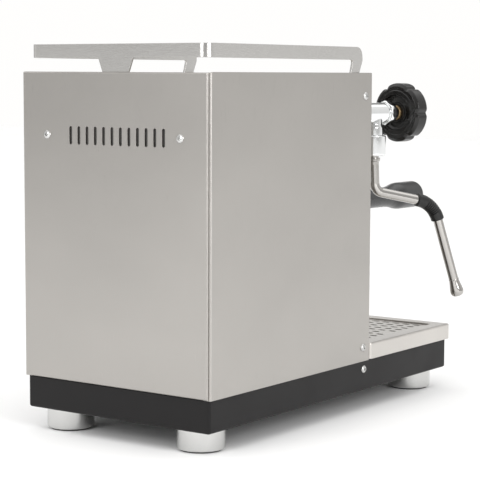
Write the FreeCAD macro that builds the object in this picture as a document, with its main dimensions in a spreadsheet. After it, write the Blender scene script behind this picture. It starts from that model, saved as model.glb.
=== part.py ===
import FreeCAD, Part
import Sketcher
import math
import os
import re

# Domestic espresso machine: a sheet-metal box on a low base, with the brewing group, the
# steam valve and a drip tray in front of it.  Millimetres, +Z up, front towards -Y.
# The origin is on the floor, under the middle of the whole object's box.

SIZES = {
    # whole body
    "mid_x": 14, "rear_y": 260, "body_width": 210, "body_depth": 258, "body_height": 274,
    "base_height": 29, "foot_height": 20, "gap": 0.3,
    # base
    "base_side_inset": 2.4, "base_rear_inset": 3, "base_length": 409, "base_wall": 2,
    "base_corner": 3, "base_lip": 12, "base_plate_thick": 1.5,
    "foot_radius": 21.5, "foot_inset_x": 28.2, "foot_inset_y": 26, "pad_thick": 1.5,
    "pad_radius": 18.5, "foot_edge": 1.2,
    "gland_radius": 9, "gland_bore": 3.8, "gland_drop": 8, "gland_x": 60, "gland_y": 200,
    # outer covers
    "sheet": 1.2, "cover_thick": 1.9, "cover_set_back": 2, "cover_inset": 2.2,
    "side_flange": 8, "cover_gap": 0.5, "flange_short": 2.3,
    "vent_offset": 5, "vent_rise": 218.7, "vent_pitch": 9.4, "vent_count": 12,
    "vent_slot_width": 3.2, "vent_slot_height": 16, "vent_plate_width": 168,
    "vent_plate_height": 34,
    "screw_radius": 3.8, "screw_head": 1.6, "shank_radius": 1.9, "shank_hole": 2.1,
    "shank_length": 5, "rear_screw_x": 74.2, "side_screw_back": 13.8,
    "side_screw_low": 13.5, "side_screw_high": 252.3, "base_screw_back": 8.4,
    "base_screw_drop": 8.3,
    # roof plate, lid and rail
    "roof_drop": 0.5, "roof_thick": 1.5, "roof_side_gap": 0.4, "hatch_half_width": 88,
    "hatch_back": 10.5, "hatch_depth": 81.5,
    "warm_slot_width": 3.4, "warm_slot_length": 26, "warm_pitch_x": 11, "warm_pitch_y": 36,
    "warm_count_x": 15, "warm_count_y": 4, "warm_first_y": 33,
    "rail_inset_x": 6, "rail_inset_y": 5, "rail_thick": 2.2, "rail_height": 12,
    "rail_top": 24, "rail_leg_top": 38.5, "rail_leg_foot": 29,
    "rail_nose": 9.2, "rail_nose_rise": 15, "rail_brow": 16.4, "rail_brow_rise": 22,
    "rail_crown": 25.4, "rail_foot_front": 15.8, "rail_foot_back": 30.6, "rail_heel": 26.9,
    # water tank
    "tank_width": 170, "tank_back": 12.5, "tank_depth": 76.5, "tank_floor": 40.3,
    "tank_top": 269, "tank_wall": 2.5, "tank_collar": 2.2, "tank_collar_height": 3,
    "lid_gap": 0.5, "lid_rim": 1.5, "lid_plate": 2, "finger_radius": 12,
    "shelf_width": 176, "shelf_thick": 2, "shelf_top": 40,
    "shelf_back": 9, "shelf_depth": 84, "dock_offset": 40, "dock_radius": 18,
    "dock_bore": 13.3, "dock_height": 20, "plug_radius": 13, "plug_length": 14,
    # pump and control box
    "pump_y": 130, "pump_rise": 36, "pump_offset": 20, "coil_width": 48, "coil_size": 46,
    "barrel_radius": 9.5, "barrel_length": 112, "piston_radius": 4.5, "piston_length": 36,
    "piston_bore": 4.6, "pump_mount_size": 14,
    "control_x": 58, "control_width": 46, "control_depth": 60, "control_height": 30,
    # boiler and group
    "boiler_y": 62, "boiler_radius": 42, "boiler_wall": 3, "boiler_floor": 141,
    "boiler_joint": 190, "boiler_roof": 238, "boiler_flange": 50, "boiler_flange_thick": 5,
    "boss_width": 44, "boss_low": 150, "boss_high": 184,
    "bracket_width": 112, "bracket_low": 106, "bracket_high": 250, "bracket_thick": 3,
    "bracket_back": 2.3, "heater_radius": 26, "heater_tube": 4, "heater_rise": 176,
    "group_y": 72, "bell_radius": 43, "bell_low": 149.5, "bell_high": 201, "bell_bore": 40,
    "bell_dome": 6, "bell_ceiling": 172, "lip_bore": 35.4, "lip_top": 155, "notch_angle": 50,
    "neck_width": 60, "neck_low": 165, "neck_high": 201, "collar_width": 76,
    "collar_low": 157, "collar_high": 209, "collar_thick": 4,
    "gasket_outer": 36.5, "gasket_inner": 28.8, "gasket_thick": 8.4,
    "screen_radius": 28.4, "screen_low": 165, "screen_high": 168, "screen_screw": 5,
    # portafilter
    "handle_rise": 140, "cup_radius": 35, "cup_bore": 31.2, "cup_low": 122, "cup_rim": 163,
    "cup_floor": 4, "ear_radius": 39.3, "ear_low": 155.4, "ear_thick": 5, "ear_angle": 44,
    "basket_wall": 0.8, "basket_radius": 29.8, "basket_rim": 34, "basket_depth": 25,
    "arm_radius": 8, "arm_reach": 56, "ferrule_radius": 12, "ferrule_length": 6,
    "grip_neck": 10.5, "grip_radius": 14.5, "grip_swell": 143, "grip_reach": 190,
    "grip_round": 6, "spout_stem": 8, "spout_fork": 112, "spout_low": 98,
    "spout_spread": 13, "spout_radius": 6.5, "spout_bore": 4, "handle_turn": 45,
    # steam valve and wand
    "wand_x": 78, "wand_y": 46, "valve_rise": 235, "valve_yaw": 10, "valve_radius": 10,
    "valve_tail": 60, "valve_front": 14, "valve_hole": 12.5, "stem_radius": 9.5,
    "stem_low": 213, "nut_radius": 12, "nut_length": 10, "spindle_radius": 4.9,
    "spindle_bore": 4.96, "spindle_start": 6, "spindle_end": 46, "knob_back": 32,
    "knob_front": 51, "knob_radius": 29, "knob_recess": 5, "knob_recess_radius": 17,
    "flute_radius": 5, "flute_reach": 32, "flute_count": 6, "collar_seat": 16,
    "ball_rise": 201, "ball_radius": 8, "ball_nut_low": 193, "ball_nut_radius": 12,
    "ball_nut_bore": 9.7, "nut_mouth": 7.4, "seat_radius": 9.3, "seat_thick": 3,
    "wand_yaw": 30, "pipe_radius": 4.8, "sleeve_radius": 6.6, "elbow_rise": 158.5,
    "knee_reach": 68.9, "knee_rise": 144.5, "tip_reach": 99.5, "tip_rise": 49.9,
    "elbow_bend": 10, "knee_bend": 30, "tip_length": 18, "tip_radius": 6.7,
    "elbow_reach": 2, "sleeve_lead": 2.4,
    # drip tray
    "tray_reach": 158.5, "tray_height": 16, "tray_rim": 14, "tray_rear_rim": 3,
    "tray_step": 3, "tray_skirt": 2, "tray_sheet": 1.5, "tray_floor": 1.5,
    "grid_thick": 1.8, "grid_drop": 1.5, "drip_slot_width": 4.2, "drip_slot_length": 8.2,
    "drip_pitch_x": 12.1, "drip_pitch_y": 12.15, "drip_count_x": 14, "drip_count_y": 10,
    "drip_first_y": 10, "drain_notch": 14, "grip_notch_y": 72.5, "grip_notch_length": 18,
    "grip_notch_depth": 6.5,
    # instruments on the front cover
    "gauge_x": 66, "gauge_rise": 235, "gauge_radius": 22, "gauge_bezel": 25,
    "gauge_window": 20.6, "gauge_proud": 5, "gauge_deep": 28, "dial_radius": 20.4,
    "needle_length": 16, "needle_tail": 6, "needle_hub": 2.6,
    "needle_thick": 0.7, "needle_width": 1.6, "needle_zero": 45,
    "display_rise": 241, "display_width": 54, "display_height": 26, "display_proud": 2.5,
    "display_deep": 12, "screen_width": 32, "screen_height": 16, "screen_offset": 7,
    "button_x": 19, "button_step": 5.6, "button_radius": 3.4, "button_bore": 3.7,
    "button_proud": 1.4,
    "switch_rise": 183, "switch_first": 53, "switch_pitch": 18, "switch_width": 15,
    "switch_height": 21, "switch_wall": 2, "switch_proud": 1.8, "switch_deep": 20,
    "rocker_tilt": 7, "rocker_proud": 2.6, "rocker_depth": 9,
    "solenoid_x": 46, "solenoid_rise": 134, "solenoid_size": 26, "coil_radius": 15,
    "coil_length": 34, "drain_radius": 3, "drain_rise": 27, "drain_out": 9,
    "hose_radius": 4, "pressure_radius": 3, "steam_radius": 3, "hose_bend": 10,
}

FRONT = "(rear_y - body_depth)"
DECK = "(foot_height + base_height)"
ROOF = "(foot_height + base_height + body_height)"
ROOF_TOP = f"({ROOF} - roof_drop)"
GROUP_Y = f"({FRONT} - group_y)"
WAND_X = "(mid_x - wand_x)"
WAND_Y = f"({FRONT} - wand_y)"
FUNCTIONS = {"sin", "cos", "tan", "deg"}

doc = FreeCAD.newDocument("espresso_machine")
SUB_PARTS = []


def make_sheet():
    sheet = doc.addObject("Spreadsheet::Sheet", "Dims")
    for row, (alias, size) in enumerate(SIZES.items(), start=1):
        sheet.set(f"A{row}", alias)
        sheet.set(f"B{row}", str(size))
        sheet.setAlias(f"B{row}", alias)
    doc.recompute()
    return sheet


SHEET = make_sheet()


def formula(text):
    """The text with the sheet's name put before each of its aliases."""
    def with_sheet(match):
        word = match.group(0)
        return word if word in FUNCTIONS else f"Dims.{word}"
    return re.sub(r"[a-z][a-z_]+", with_sheet, str(text))


def amount(text):
    """The number that a formula gives now."""
    found = SHEET.evalExpression(formula(text))
    return float(getattr(found, "Value", found))


def bind(thing, **formulas):
    for name, text in formulas.items():
        thing.setExpression(name.replace("__", "."), formula(text))


def place(thing, x=0, y=0, z=0, turn=None):
    """Puts a thing at x, y, z, bound to the sheet, after turning it."""
    if turn is not None:
        thing.Placement = FreeCAD.Placement(FreeCAD.Vector(), turn)
    bind(thing, Placement__Base__x=x, Placement__Base__y=y, Placement__Base__z=z)
    return thing


def towards(x, y, z):
    """The turn that takes +Z to a direction."""
    return FreeCAD.Rotation(FreeCAD.Vector(0, 0, 1), FreeCAD.Vector(x, y, z))


def sub_part(thing, label):
    """Keeps a thing as one of the machine's pieces, under its own label."""
    thing.Label = label
    SUB_PARTS.append(thing)
    return thing


# ---- primitives and booleans -------------------------------------------------------------

def block(x, y, z, name="block"):
    """A box from its lowest to its highest x, y and z."""
    box = doc.addObject("Part::Box", name)
    bind(box, Length=f"({x[1]}) - ({x[0]})", Width=f"({y[1]}) - ({y[0]})",
         Height=f"({z[1]}) - ({z[0]})")
    return place(box, x[0], y[0], z[0])


def centred(width, y, z, name="block"):
    """A box centred on the body's middle plane."""
    return block((f"mid_x - ({width}) / 2", f"mid_x + ({width}) / 2"), y, z, name)


def rod(radius, length, x, y, z, turn=None, name="rod"):
    """A cylinder that starts at x, y, z and runs along +Z, or along the turned axis."""
    cylinder = doc.addObject("Part::Cylinder", name)
    bind(cylinder, Radius=radius, Height=length)
    return place(cylinder, x, y, z, turn)


def fuse(shapes, name="joined"):
    joined = doc.addObject("Part::MultiFuse", name)
    joined.Shapes = shapes
    return joined


def cut(base, tools, name="cut"):
    """The base without the tools."""
    result = doc.addObject("Part::Cut", name)
    result.Base = base
    result.Tool = tools[0] if len(tools) == 1 else fuse(tools)
    return result


def ring(outer, inner, length, x, y, z, turn=None, name="ring"):
    """A cylinder with a bore right through it."""
    outside = rod(outer, length, x, y, z, turn)
    bore = rod(inner, length, x, y, z, turn)
    return cut(outside, [bore], name)


FORWARD = towards(0, -1, 0)
BACKWARD = towards(0, 1, 0)
LEFTWARD = towards(-1, 0, 0)
RIGHTWARD = towards(1, 0, 0)


# ---- sketched bodies ---------------------------------------------------------------------

def new_body(name):
    return doc.addObject("PartDesign::Body", name)


def new_sketch(body, role, name="sketch", offset=0):
    sketch = body.newObject("Sketcher::SketchObject", name)
    plane = next(item for item in body.Origin.OriginFeatures if item.Role == role)
    sketch.AttachmentSupport = [(plane, "")]
    sketch.MapMode = "FlatFace"
    if offset:
        bind(sketch, AttachmentOffset__Base__z=offset)
    return sketch


def fix_point(sketch, line, end, across, up):
    """Holds one end of a line at two distances from the sketch's own origin."""
    for kind, text in (("DistanceX", across), ("DistanceY", up)):
        index = sketch.addConstraint(
            Sketcher.Constraint(kind, -1, 1, line, end, amount(text)))
        name = f"{kind}_{line}_{end}"
        sketch.renameConstraint(index, name)
        sketch.setExpression(f"Constraints.{name}", formula(text))


def outline(sketch, points):
    """Draws a closed outline through points, each held by two distances."""
    places = [FreeCAD.Vector(amount(across), amount(up), 0) for across, up in points]
    first = sketch.GeometryCount
    count = len(points)
    for index in range(count):
        line = Part.LineSegment(places[index], places[(index + 1) % count])
        sketch.addGeometry(line, False)
    for index in range(count):
        after = first + (index + 1) % count
        sketch.addConstraint(Sketcher.Constraint("Coincident", first + index, 2, after, 1))
    for index, (across, up) in enumerate(points):
        fix_point(sketch, first + index, 1, across, up)
    return sketch


def rectangle(sketch, low_x, high_x, low_y, high_y):
    corners = [(low_x, low_y), (high_x, low_y), (high_x, high_y), (low_x, high_y)]
    return outline(sketch, corners)


def circle(sketch, x, y, radius):
    middle = FreeCAD.Vector(amount(x), amount(y), 0)
    number = sketch.GeometryCount
    shape = Part.Circle(middle, FreeCAD.Vector(0, 0, 1), amount(radius))
    sketch.addGeometry(shape, False)
    fix_point(sketch, number, 3, x, y)
    index = sketch.addConstraint(Sketcher.Constraint("Radius", number, amount(radius)))
    sketch.renameConstraint(index, f"curve_{number}")
    sketch.setExpression(f"Constraints.curve_{number}", formula(radius))
    return sketch


def pad(body, sketch, length, name="pad", reverse=False):
    feature = body.newObject("PartDesign::Pad", name)
    feature.Profile = sketch
    feature.Reversed = reverse
    bind(feature, Length=length)
    return feature


def pocket_through(body, sketch, name="opening"):
    """Cuts a sketch right through the body, both ways from its plane."""
    feature = body.newObject("PartDesign::Pocket", name)
    feature.Profile = sketch
    feature.Type = "ThroughAll"
    feature.SideType = "Symmetric"
    return feature


def turned(name, points, x, y, z, turn=None):
    """A body turned about its own Z axis from an outline of (radius, height) points."""
    body = new_body(name)
    sketch = outline(new_sketch(body, "XZ_Plane", name + "_outline"), points)
    feature = body.newObject("PartDesign::Revolution", name + "_turning")
    feature.Profile = sketch
    feature.ReferenceAxis = (sketch, ["V_Axis"])
    feature.Angle = 360
    return place(body, x, y, z, turn)


def grid_pattern(body, original, sketch, counts, pitches, name="pattern"):
    """Repeats a feature along the sketch's two axes."""
    feature = body.newObject("PartDesign::LinearPattern", name)
    feature.Originals = [original]
    feature.Direction = (sketch, ["H_Axis"])
    feature.Direction2 = (sketch, ["V_Axis"])
    feature.Mode = "Spacing"
    feature.Mode2 = "Spacing"
    bind(feature, Occurrences=counts[0], Occurrences2=counts[1],
         Offset=pitches[0], Offset2=pitches[1])
    body.Tip = feature
    return feature


def sheet_with_slots(name, corners, thick, slot, counts, pitches, place_at):
    """A flat plate with a pattern of straight slots, drawn flat and then placed."""
    body = new_body(name)
    plate = rectangle(new_sketch(body, "XY_Plane", name + "_plate"), *corners)
    pad(body, plate, thick, name + "_sheet")
    first = rectangle(new_sketch(body, "XY_Plane", name + "_slot"), *slot)
    opening = pocket_through(body, first, name + "_opening")
    grid_pattern(body, opening, first, counts, pitches, name + "_slots")
    return place(body, *place_at)


# ---- tubes along a route -----------------------------------------------------------------

def route_wire(points, bends):
    """Straight runs joined by tangent arcs, one radius for each corner."""
    corners = [FreeCAD.Vector(*(amount(value) for value in point)) for point in points]
    radii = [amount(bend) for bend in bends]
    edges = []
    start = corners[0]
    for before, corner, after, radius in zip(corners, corners[1:], corners[2:], radii):
        back = (before - corner).normalize()
        ahead = (after - corner).normalize()
        half = back.getAngle(ahead) / 2
        reach = radius / math.tan(half)
        middle = corner + (back + ahead).normalize() * (radius / math.sin(half))
        enter = corner + back * reach
        leave = corner + ahead * reach
        crown = middle + (corner - middle).normalize() * radius
        edges.append(Part.LineSegment(start, enter).toShape())
        edges.append(Part.Arc(enter, crown, leave).toShape())
        start = leave
    edges.append(Part.LineSegment(start, corners[-1]).toShape())
    return Part.Wire(edges)


def swept(wire, radius):
    """A round bar of one radius along a wire."""
    first = wire.Edges[0]
    heading = first.tangentAt(first.FirstParameter)
    start = first.valueAt(first.FirstParameter)
    ring_edge = Part.makeCircle(amount(radius), start, heading)
    return wire.makePipeShell([Part.Wire([ring_edge])], True, False)


def tube(name, points, radius, bend):
    """A pipe whose route is too three-dimensional for a sketch."""
    feature = doc.addObject("Part::Feature", name)
    feature.Shape = swept(route_wire(points, [bend] * (len(points) - 2)), radius)
    feature.Placement = FreeCAD.Placement()
    return sub_part(feature, name)


# ---- base and feet -----------------------------------------------------------------------

BASE_LEFT = "(mid_x - body_width / 2 + base_side_inset)"
BASE_RIGHT = "(mid_x + body_width / 2 - base_side_inset)"
BASE_REAR = "(rear_y - base_rear_inset)"
BASE_FRONT = "(rear_y - base_rear_inset - base_length)"


def inside_base(margin):
    """The base's outline, drawn in by a margin, as two ranges."""
    x = (f"{BASE_LEFT} + {margin}", f"{BASE_RIGHT} - {margin}")
    y = (f"{BASE_FRONT} + {margin}", f"{BASE_REAR} - {margin}")
    return x, y


def upright_edges(shape):
    """Numbers of the straight edges that run along Z."""
    names = []
    for index, edge in enumerate(shape.Edges, start=1):
        ends = [vertex.Point for vertex in edge.Vertexes]
        if len(ends) == 2 and (ends[0] - ends[1]).cross(FreeCAD.Vector(0, 0, 1)).Length < 1e-6:
            names.append(f"Edge{index}")
    return names


def make_base():
    outside = new_body("base_outside")
    sketch = rectangle(new_sketch(outside, "XY_Plane"),
                       "0", "body_width - 2 * base_side_inset", "0", "base_length")
    solid = pad(outside, sketch, "base_height")
    doc.recompute()
    rounding = outside.newObject("PartDesign::Fillet", "base_rounding")
    rounding.Base = (solid, upright_edges(solid.Shape))
    bind(rounding, Radius="base_corner")
    outside.Tip = rounding
    place(outside, BASE_LEFT, BASE_FRONT, "foot_height")
    hollow_x, hollow_y = inside_base("base_wall")
    hollow = block(hollow_x, hollow_y,
                   ("foot_height + base_plate_thick", f"{DECK} - base_wall"))
    mouth_x, mouth_y = inside_base("base_lip")
    mouth = block(mouth_x, mouth_y, ("foot_height", "foot_height + base_plate_thick"))
    holes = [rod("shank_hole", "4 * base_wall", "mid_x - body_width / 2",
                 f"{FRONT} + base_screw_back", f"{DECK} - base_screw_drop", RIGHTWARD),
             rod("shank_hole", "4 * base_wall", "mid_x + body_width / 2",
                 f"{FRONT} + base_screw_back", f"{DECK} - base_screw_drop", LEFTWARD)]
    sub_part(cut(outside, [hollow, mouth] + holes, "base_frame"), "base_frame")

    plate_x, plate_y = inside_base("(base_lip + 0.2)")
    plate = block(plate_x, plate_y, ("foot_height", "foot_height + base_plate_thick"))
    hole = rod("gland_radius - 2", "base_plate_thick", "mid_x + gland_x", "gland_y",
               "foot_height")
    sub_part(cut(plate, [hole], "base_plate"), "base_plate")
    collar = rod("gland_radius", "gland_drop", "mid_x + gland_x", "gland_y",
                 "foot_height - gland_drop")
    sleeve = rod("gland_radius - 2", "2 * gland_drop", "mid_x + gland_x", "gland_y",
                 "foot_height - gland_drop")
    bore = rod("gland_bore", "2 * gland_drop", "mid_x + gland_x", "gland_y",
               "foot_height - gland_drop")
    sub_part(cut(fuse([collar, sleeve]), [bore], "cable_gland"), "cable_gland")


def make_feet():
    metal = []
    pads = []
    for x in (f"{BASE_LEFT} + foot_inset_x", f"{BASE_RIGHT} - foot_inset_x"):
        for y in (f"{BASE_FRONT} + foot_inset_y", f"{BASE_REAR} - foot_inset_y"):
            metal.append(turned("foot", [
                ("0", "pad_thick"), ("foot_radius - foot_edge", "pad_thick"),
                ("foot_radius", "pad_thick + foot_edge"),
                ("foot_radius", "foot_height - foot_edge"),
                ("foot_radius - foot_edge", "foot_height"), ("0", "foot_height")], x, y, 0))
            pads.append(rod("pad_radius", "pad_thick", x, y, 0))
    sub_part(fuse(metal, "feet"), "feet")
    sub_part(fuse(pads, "foot_pads"), "foot_pads")


# ---- outer covers ------------------------------------------------------------------------

COVER_LEFT = "(mid_x - body_width / 2 + cover_inset)"
COVER_RIGHT = "(mid_x + body_width / 2 - cover_inset)"
COVER_Z = (f"{DECK} + cover_gap", f"{ROOF} - cover_gap")


def make_side_panel(label, sign):
    """A side cover: an upright sheet with a short flange folded in at each end."""
    face = f"mid_x + ({sign}) * body_width / 2"
    inner = f"mid_x + ({sign}) * (body_width / 2 - sheet)"
    fold = f"mid_x + ({sign}) * (body_width / 2 - side_flange)"
    span = (face, inner) if sign < 0 else (inner, face)
    reach = (inner, fold) if sign < 0 else (fold, inner)
    front = f"{FRONT} + cover_set_back"
    rear = "rear_y - cover_set_back"
    flange_z = (DECK, f"{ROOF} - flange_short")
    wall = block(span, (front, rear), (DECK, ROOF))
    flanges = [block(reach, (front, f"{front} + sheet"), flange_z),
               block(reach, (f"{rear} - sheet", rear), flange_z)]
    inward = RIGHTWARD if sign < 0 else LEFTWARD
    holes = [rod("shank_hole", "3 * sheet", face, f"{FRONT} + side_screw_back",
                 f"{DECK} + {height}", inward)
             for height in ("side_screw_low", "side_screw_high")]
    sub_part(cut(fuse([wall] + flanges), holes, label), label)


def make_rear_panel():
    body = new_body("rear_panel")
    plate = rectangle(new_sketch(body, "XZ_Plane", "rear_outline"),
                      "cover_inset - body_width / 2", "body_width / 2 - cover_inset",
                      "cover_gap", "body_height - cover_gap")
    pad(body, plate, "cover_thick", "rear_sheet")
    left = "(-vent_offset - (vent_count - 1) * vent_pitch / 2)"
    slot = rectangle(new_sketch(body, "XZ_Plane", "rear_slot"),
                     f"{left} - vent_slot_width / 2", f"{left} + vent_slot_width / 2",
                     "vent_rise - vent_slot_height / 2", "vent_rise + vent_slot_height / 2")
    opening = pocket_through(body, slot, "rear_opening")
    row = grid_pattern(body, opening, slot, ("vent_count", "1"), ("vent_pitch", "1"))
    row.Direction2 = None
    holes = new_sketch(body, "XZ_Plane", "rear_holes")
    circle(holes, "-rear_screw_x", "vent_rise", "shank_hole")
    circle(holes, "rear_screw_x", "vent_rise", "shank_hole")
    body.Tip = pocket_through(body, holes, "rear_screw_holes")
    place(body, "mid_x", "rear_y", DECK)
    sub_part(body, "rear_panel")

    back = "rear_y - cover_thick"
    middle = f"{DECK} + vent_rise"
    plate = centred("vent_plate_width", (f"{back} - sheet", back),
                    (f"{middle} - vent_plate_height / 2", f"{middle} + vent_plate_height / 2"))
    holes = [rod("shank_hole", "3 * sheet", f"mid_x + ({side}) * rear_screw_x", "rear_y",
                 middle, FORWARD) for side in (-1, 1)]
    for hole in holes:
        bind(hole, Height="3 * cover_thick")
    sub_part(cut(plate, holes, "vent_plate"), "vent_plate")


def make_screw(x, y, z, heading):
    """A screw whose head lies on a face; heading points into the machine."""
    back = FreeCAD.Vector(*heading) * -1
    head = rod("screw_radius", "screw_head", x, y, z, towards(*back))
    shank = rod("shank_radius", "shank_length", x, y, z, towards(*heading))
    return fuse([head, shank])


def make_cover_screws():
    screws = []
    for side in (-1, 1):
        face = f"mid_x + ({side}) * body_width / 2"
        for height in ("side_screw_low", "side_screw_high"):
            screws.append(make_screw(face, f"{FRONT} + side_screw_back",
                                     f"{DECK} + {height}", (-side, 0, 0)))
        base_face = f"mid_x + ({side}) * (body_width / 2 - base_side_inset)"
        screws.append(make_screw(base_face, f"{FRONT} + base_screw_back",
                                 f"{DECK} - base_screw_drop", (-side, 0, 0)))
        screws.append(make_screw(f"mid_x + ({side}) * rear_screw_x", "rear_y",
                                 f"{DECK} + vent_rise", (0, -1, 0)))
    sub_part(fuse(screws, "cover_screws"), "cover_screws")


def make_front_panel():
    body = new_body("front_panel")
    plate = rectangle(new_sketch(body, "XZ_Plane", "front_outline"),
                      "cover_inset - body_width / 2", "body_width / 2 - cover_inset",
                      "cover_gap", "body_height - cover_gap")
    pad(body, plate, "cover_thick", "front_sheet")
    holes = new_sketch(body, "XZ_Plane", "front_holes")
    rectangle(holes, "-neck_width / 2", "neck_width / 2", "neck_low", "neck_high")
    circle(holes, "-wand_x + wand_y * tan(valve_yaw * 1 deg)", "valve_rise", "valve_hole")
    circle(holes, "gauge_x", "gauge_rise", "gauge_radius")
    rectangle(holes, "3 - display_width / 2", "display_width / 2 - 3",
              "display_rise + 2 - display_height / 2", "display_rise - 2 + display_height / 2")
    for number in range(3):
        middle = f"(switch_first + {number} * switch_pitch)"
        rectangle(holes, f"{middle} + 1 - switch_width / 2", f"{middle} - 1 + switch_width / 2",
                  "switch_rise + 1 - switch_height / 2", "switch_rise - 1 + switch_height / 2")
    circle(holes, "solenoid_x", "drain_rise", "drain_radius")
    body.Tip = pocket_through(body, holes, "front_openings")
    place(body, "mid_x", f"{FRONT} + cover_thick", DECK)
    sub_part(body, "front_panel")


def make_roof():
    half = "(body_width / 2 - sheet - roof_side_gap)"
    first_x = "(-(warm_count_x - 1) * warm_pitch_x / 2)"
    roof = sheet_with_slots(
        "roof_sheet", (f"-{half}", half, "cover_thick + 0.2", "body_depth - cover_thick - 0.2"),
        "roof_thick",
        (f"{first_x} - warm_slot_width / 2", f"{first_x} + warm_slot_width / 2",
         "warm_first_y - warm_slot_length / 2", "warm_first_y + warm_slot_length / 2"),
        ("warm_count_x", "warm_count_y"), ("warm_pitch_x", "warm_pitch_y"),
        ("mid_x", FRONT, f"{ROOF_TOP} - roof_thick"))
    hatch = centred("2 * hatch_half_width",
                    ("rear_y - hatch_back - hatch_depth", "rear_y - hatch_back"),
                    (f"{ROOF_TOP} - 2 * roof_thick", f"{ROOF_TOP} + roof_thick"))
    sub_part(cut(roof, [hatch], "top_plate"), "top_plate")


def make_cup_rail():
    body = new_body("cup_rail")
    half = "(body_width / 2 - rail_inset_x)"
    low = "(body_height + rail_top - rail_height)"
    high = "(body_height + rail_top)"
    foot = "(body_height - roof_drop)"
    rear = new_sketch(body, "XZ_Plane", "rail_rear", "-(rear_y - rail_inset_y - rail_thick)")
    outline(rear, [
        (f"-{half}", low), ("-rail_leg_top / 2", low),
        ("-rail_leg_foot / 2", foot),
        ("rail_leg_foot / 2", foot),
        ("rail_leg_top / 2", low), (half, low), (half, high),
        (f"-{half}", high)])
    pad(body, rear, "rail_thick", "rail_rear_strip", reverse=True)
    back = "(rear_y - rail_inset_y - rail_thick)"
    shape = [(back, low), (back, high), (f"{FRONT} + rail_crown", high),
             (f"{FRONT} + rail_brow", "body_height + rail_brow_rise"),
             (f"{FRONT} + rail_nose", "body_height + rail_nose_rise"),
             (f"{FRONT} + rail_foot_front", foot), (f"{FRONT} + rail_foot_back", foot),
             (f"{FRONT} + rail_heel", low)]
    left = outline(new_sketch(body, "YZ_Plane", "rail_left", f"-{half}"), shape)
    pad(body, left, "rail_thick", "rail_left_strip")
    right = outline(new_sketch(body, "YZ_Plane", "rail_right", f"{half} - rail_thick"), shape)
    body.Tip = pad(body, right, "rail_thick", "rail_right_strip")
    place(body, "mid_x", 0, DECK)
    sub_part(body, "cup_rail")


# ---- water tank --------------------------------------------------------------------------

TANK_Y = ("rear_y - tank_back - tank_depth", "rear_y - tank_back")


def make_tank():
    left = "mid_x - tank_width / 2"
    right = "mid_x + tank_width / 2"
    low = f"{DECK} + tank_floor"
    high = f"{DECK} + tank_top"
    outside = block((left, right), TANK_Y, (low, high))
    collar = block((f"{left} - tank_collar", f"{right} + tank_collar"),
                   (f"{TANK_Y[0]} - tank_collar + 0.3", f"{TANK_Y[1]} + 1.2"),
                   (f"{high} - tank_collar_height", high))
    plug = rod("plug_radius", "plug_length + 1", "mid_x - dock_offset",
               "rear_y - tank_back - tank_depth / 2", f"{low} - plug_length")
    hollow = block((f"{left} + tank_wall", f"{right} - tank_wall"),
                   (f"{TANK_Y[0]} + tank_wall", f"{TANK_Y[1]} - tank_wall"),
                   (f"{low} + tank_wall", f"{high} + tank_wall"))
    sub_part(cut(fuse([outside, collar, plug]), [hollow], "water_tank"), "water_tank")

    edge_x = "(hatch_half_width - lid_gap)"
    lid_y = ("rear_y - hatch_back - hatch_depth + lid_gap", "rear_y - hatch_back - lid_gap")
    lid_low = f"{high} + gap"
    plate_low = f"{ROOF_TOP} - lid_plate"
    solid = centred(f"2 * {edge_x}", lid_y, (lid_low, ROOF_TOP))
    under = centred(f"2 * ({edge_x} - lid_rim)",
                    (f"{lid_y[0]} + lid_rim", f"{lid_y[1]} - lid_rim"), (lid_low, plate_low))
    finger = rod("finger_radius", "3 * lid_plate", "mid_x",
                 "rear_y - hatch_back - hatch_depth / 2", f"{ROOF_TOP} - 2 * lid_plate")
    sub_part(cut(solid, [under, finger], "tank_lid"), "tank_lid")


def make_tank_shelf():
    depth = ("rear_y - shelf_back - shelf_depth", "rear_y - shelf_back")
    top = f"{DECK} + shelf_top"
    middle = ("mid_x - dock_offset", "rear_y - tank_back - tank_depth / 2")
    plate = centred("shelf_width", depth, (f"{top} - shelf_thick", top))
    legs = [block((f"mid_x + ({side}) * shelf_width / 2 - {low}",
                   f"mid_x + ({side}) * shelf_width / 2 + {high}"), depth,
                  (DECK, f"{top} - shelf_thick"))
            for side, low, high in ((-1, "0", "shelf_thick"), (1, "shelf_thick", "0"))]
    dock = rod("dock_radius", "dock_height", *middle, f"{top} - shelf_thick - dock_height")
    bore = rod("dock_bore", "dock_height", *middle,
               f"{top} - dock_height + shelf_thick / 2")
    sub_part(cut(fuse([plate, dock] + legs), [bore], "tank_shelf"), "tank_shelf")


# ---- pump, controls, boiler --------------------------------------------------------------

PUMP_Z = f"({DECK} + pump_rise)"
PUMP_X = "(mid_x - pump_offset)"


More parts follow.
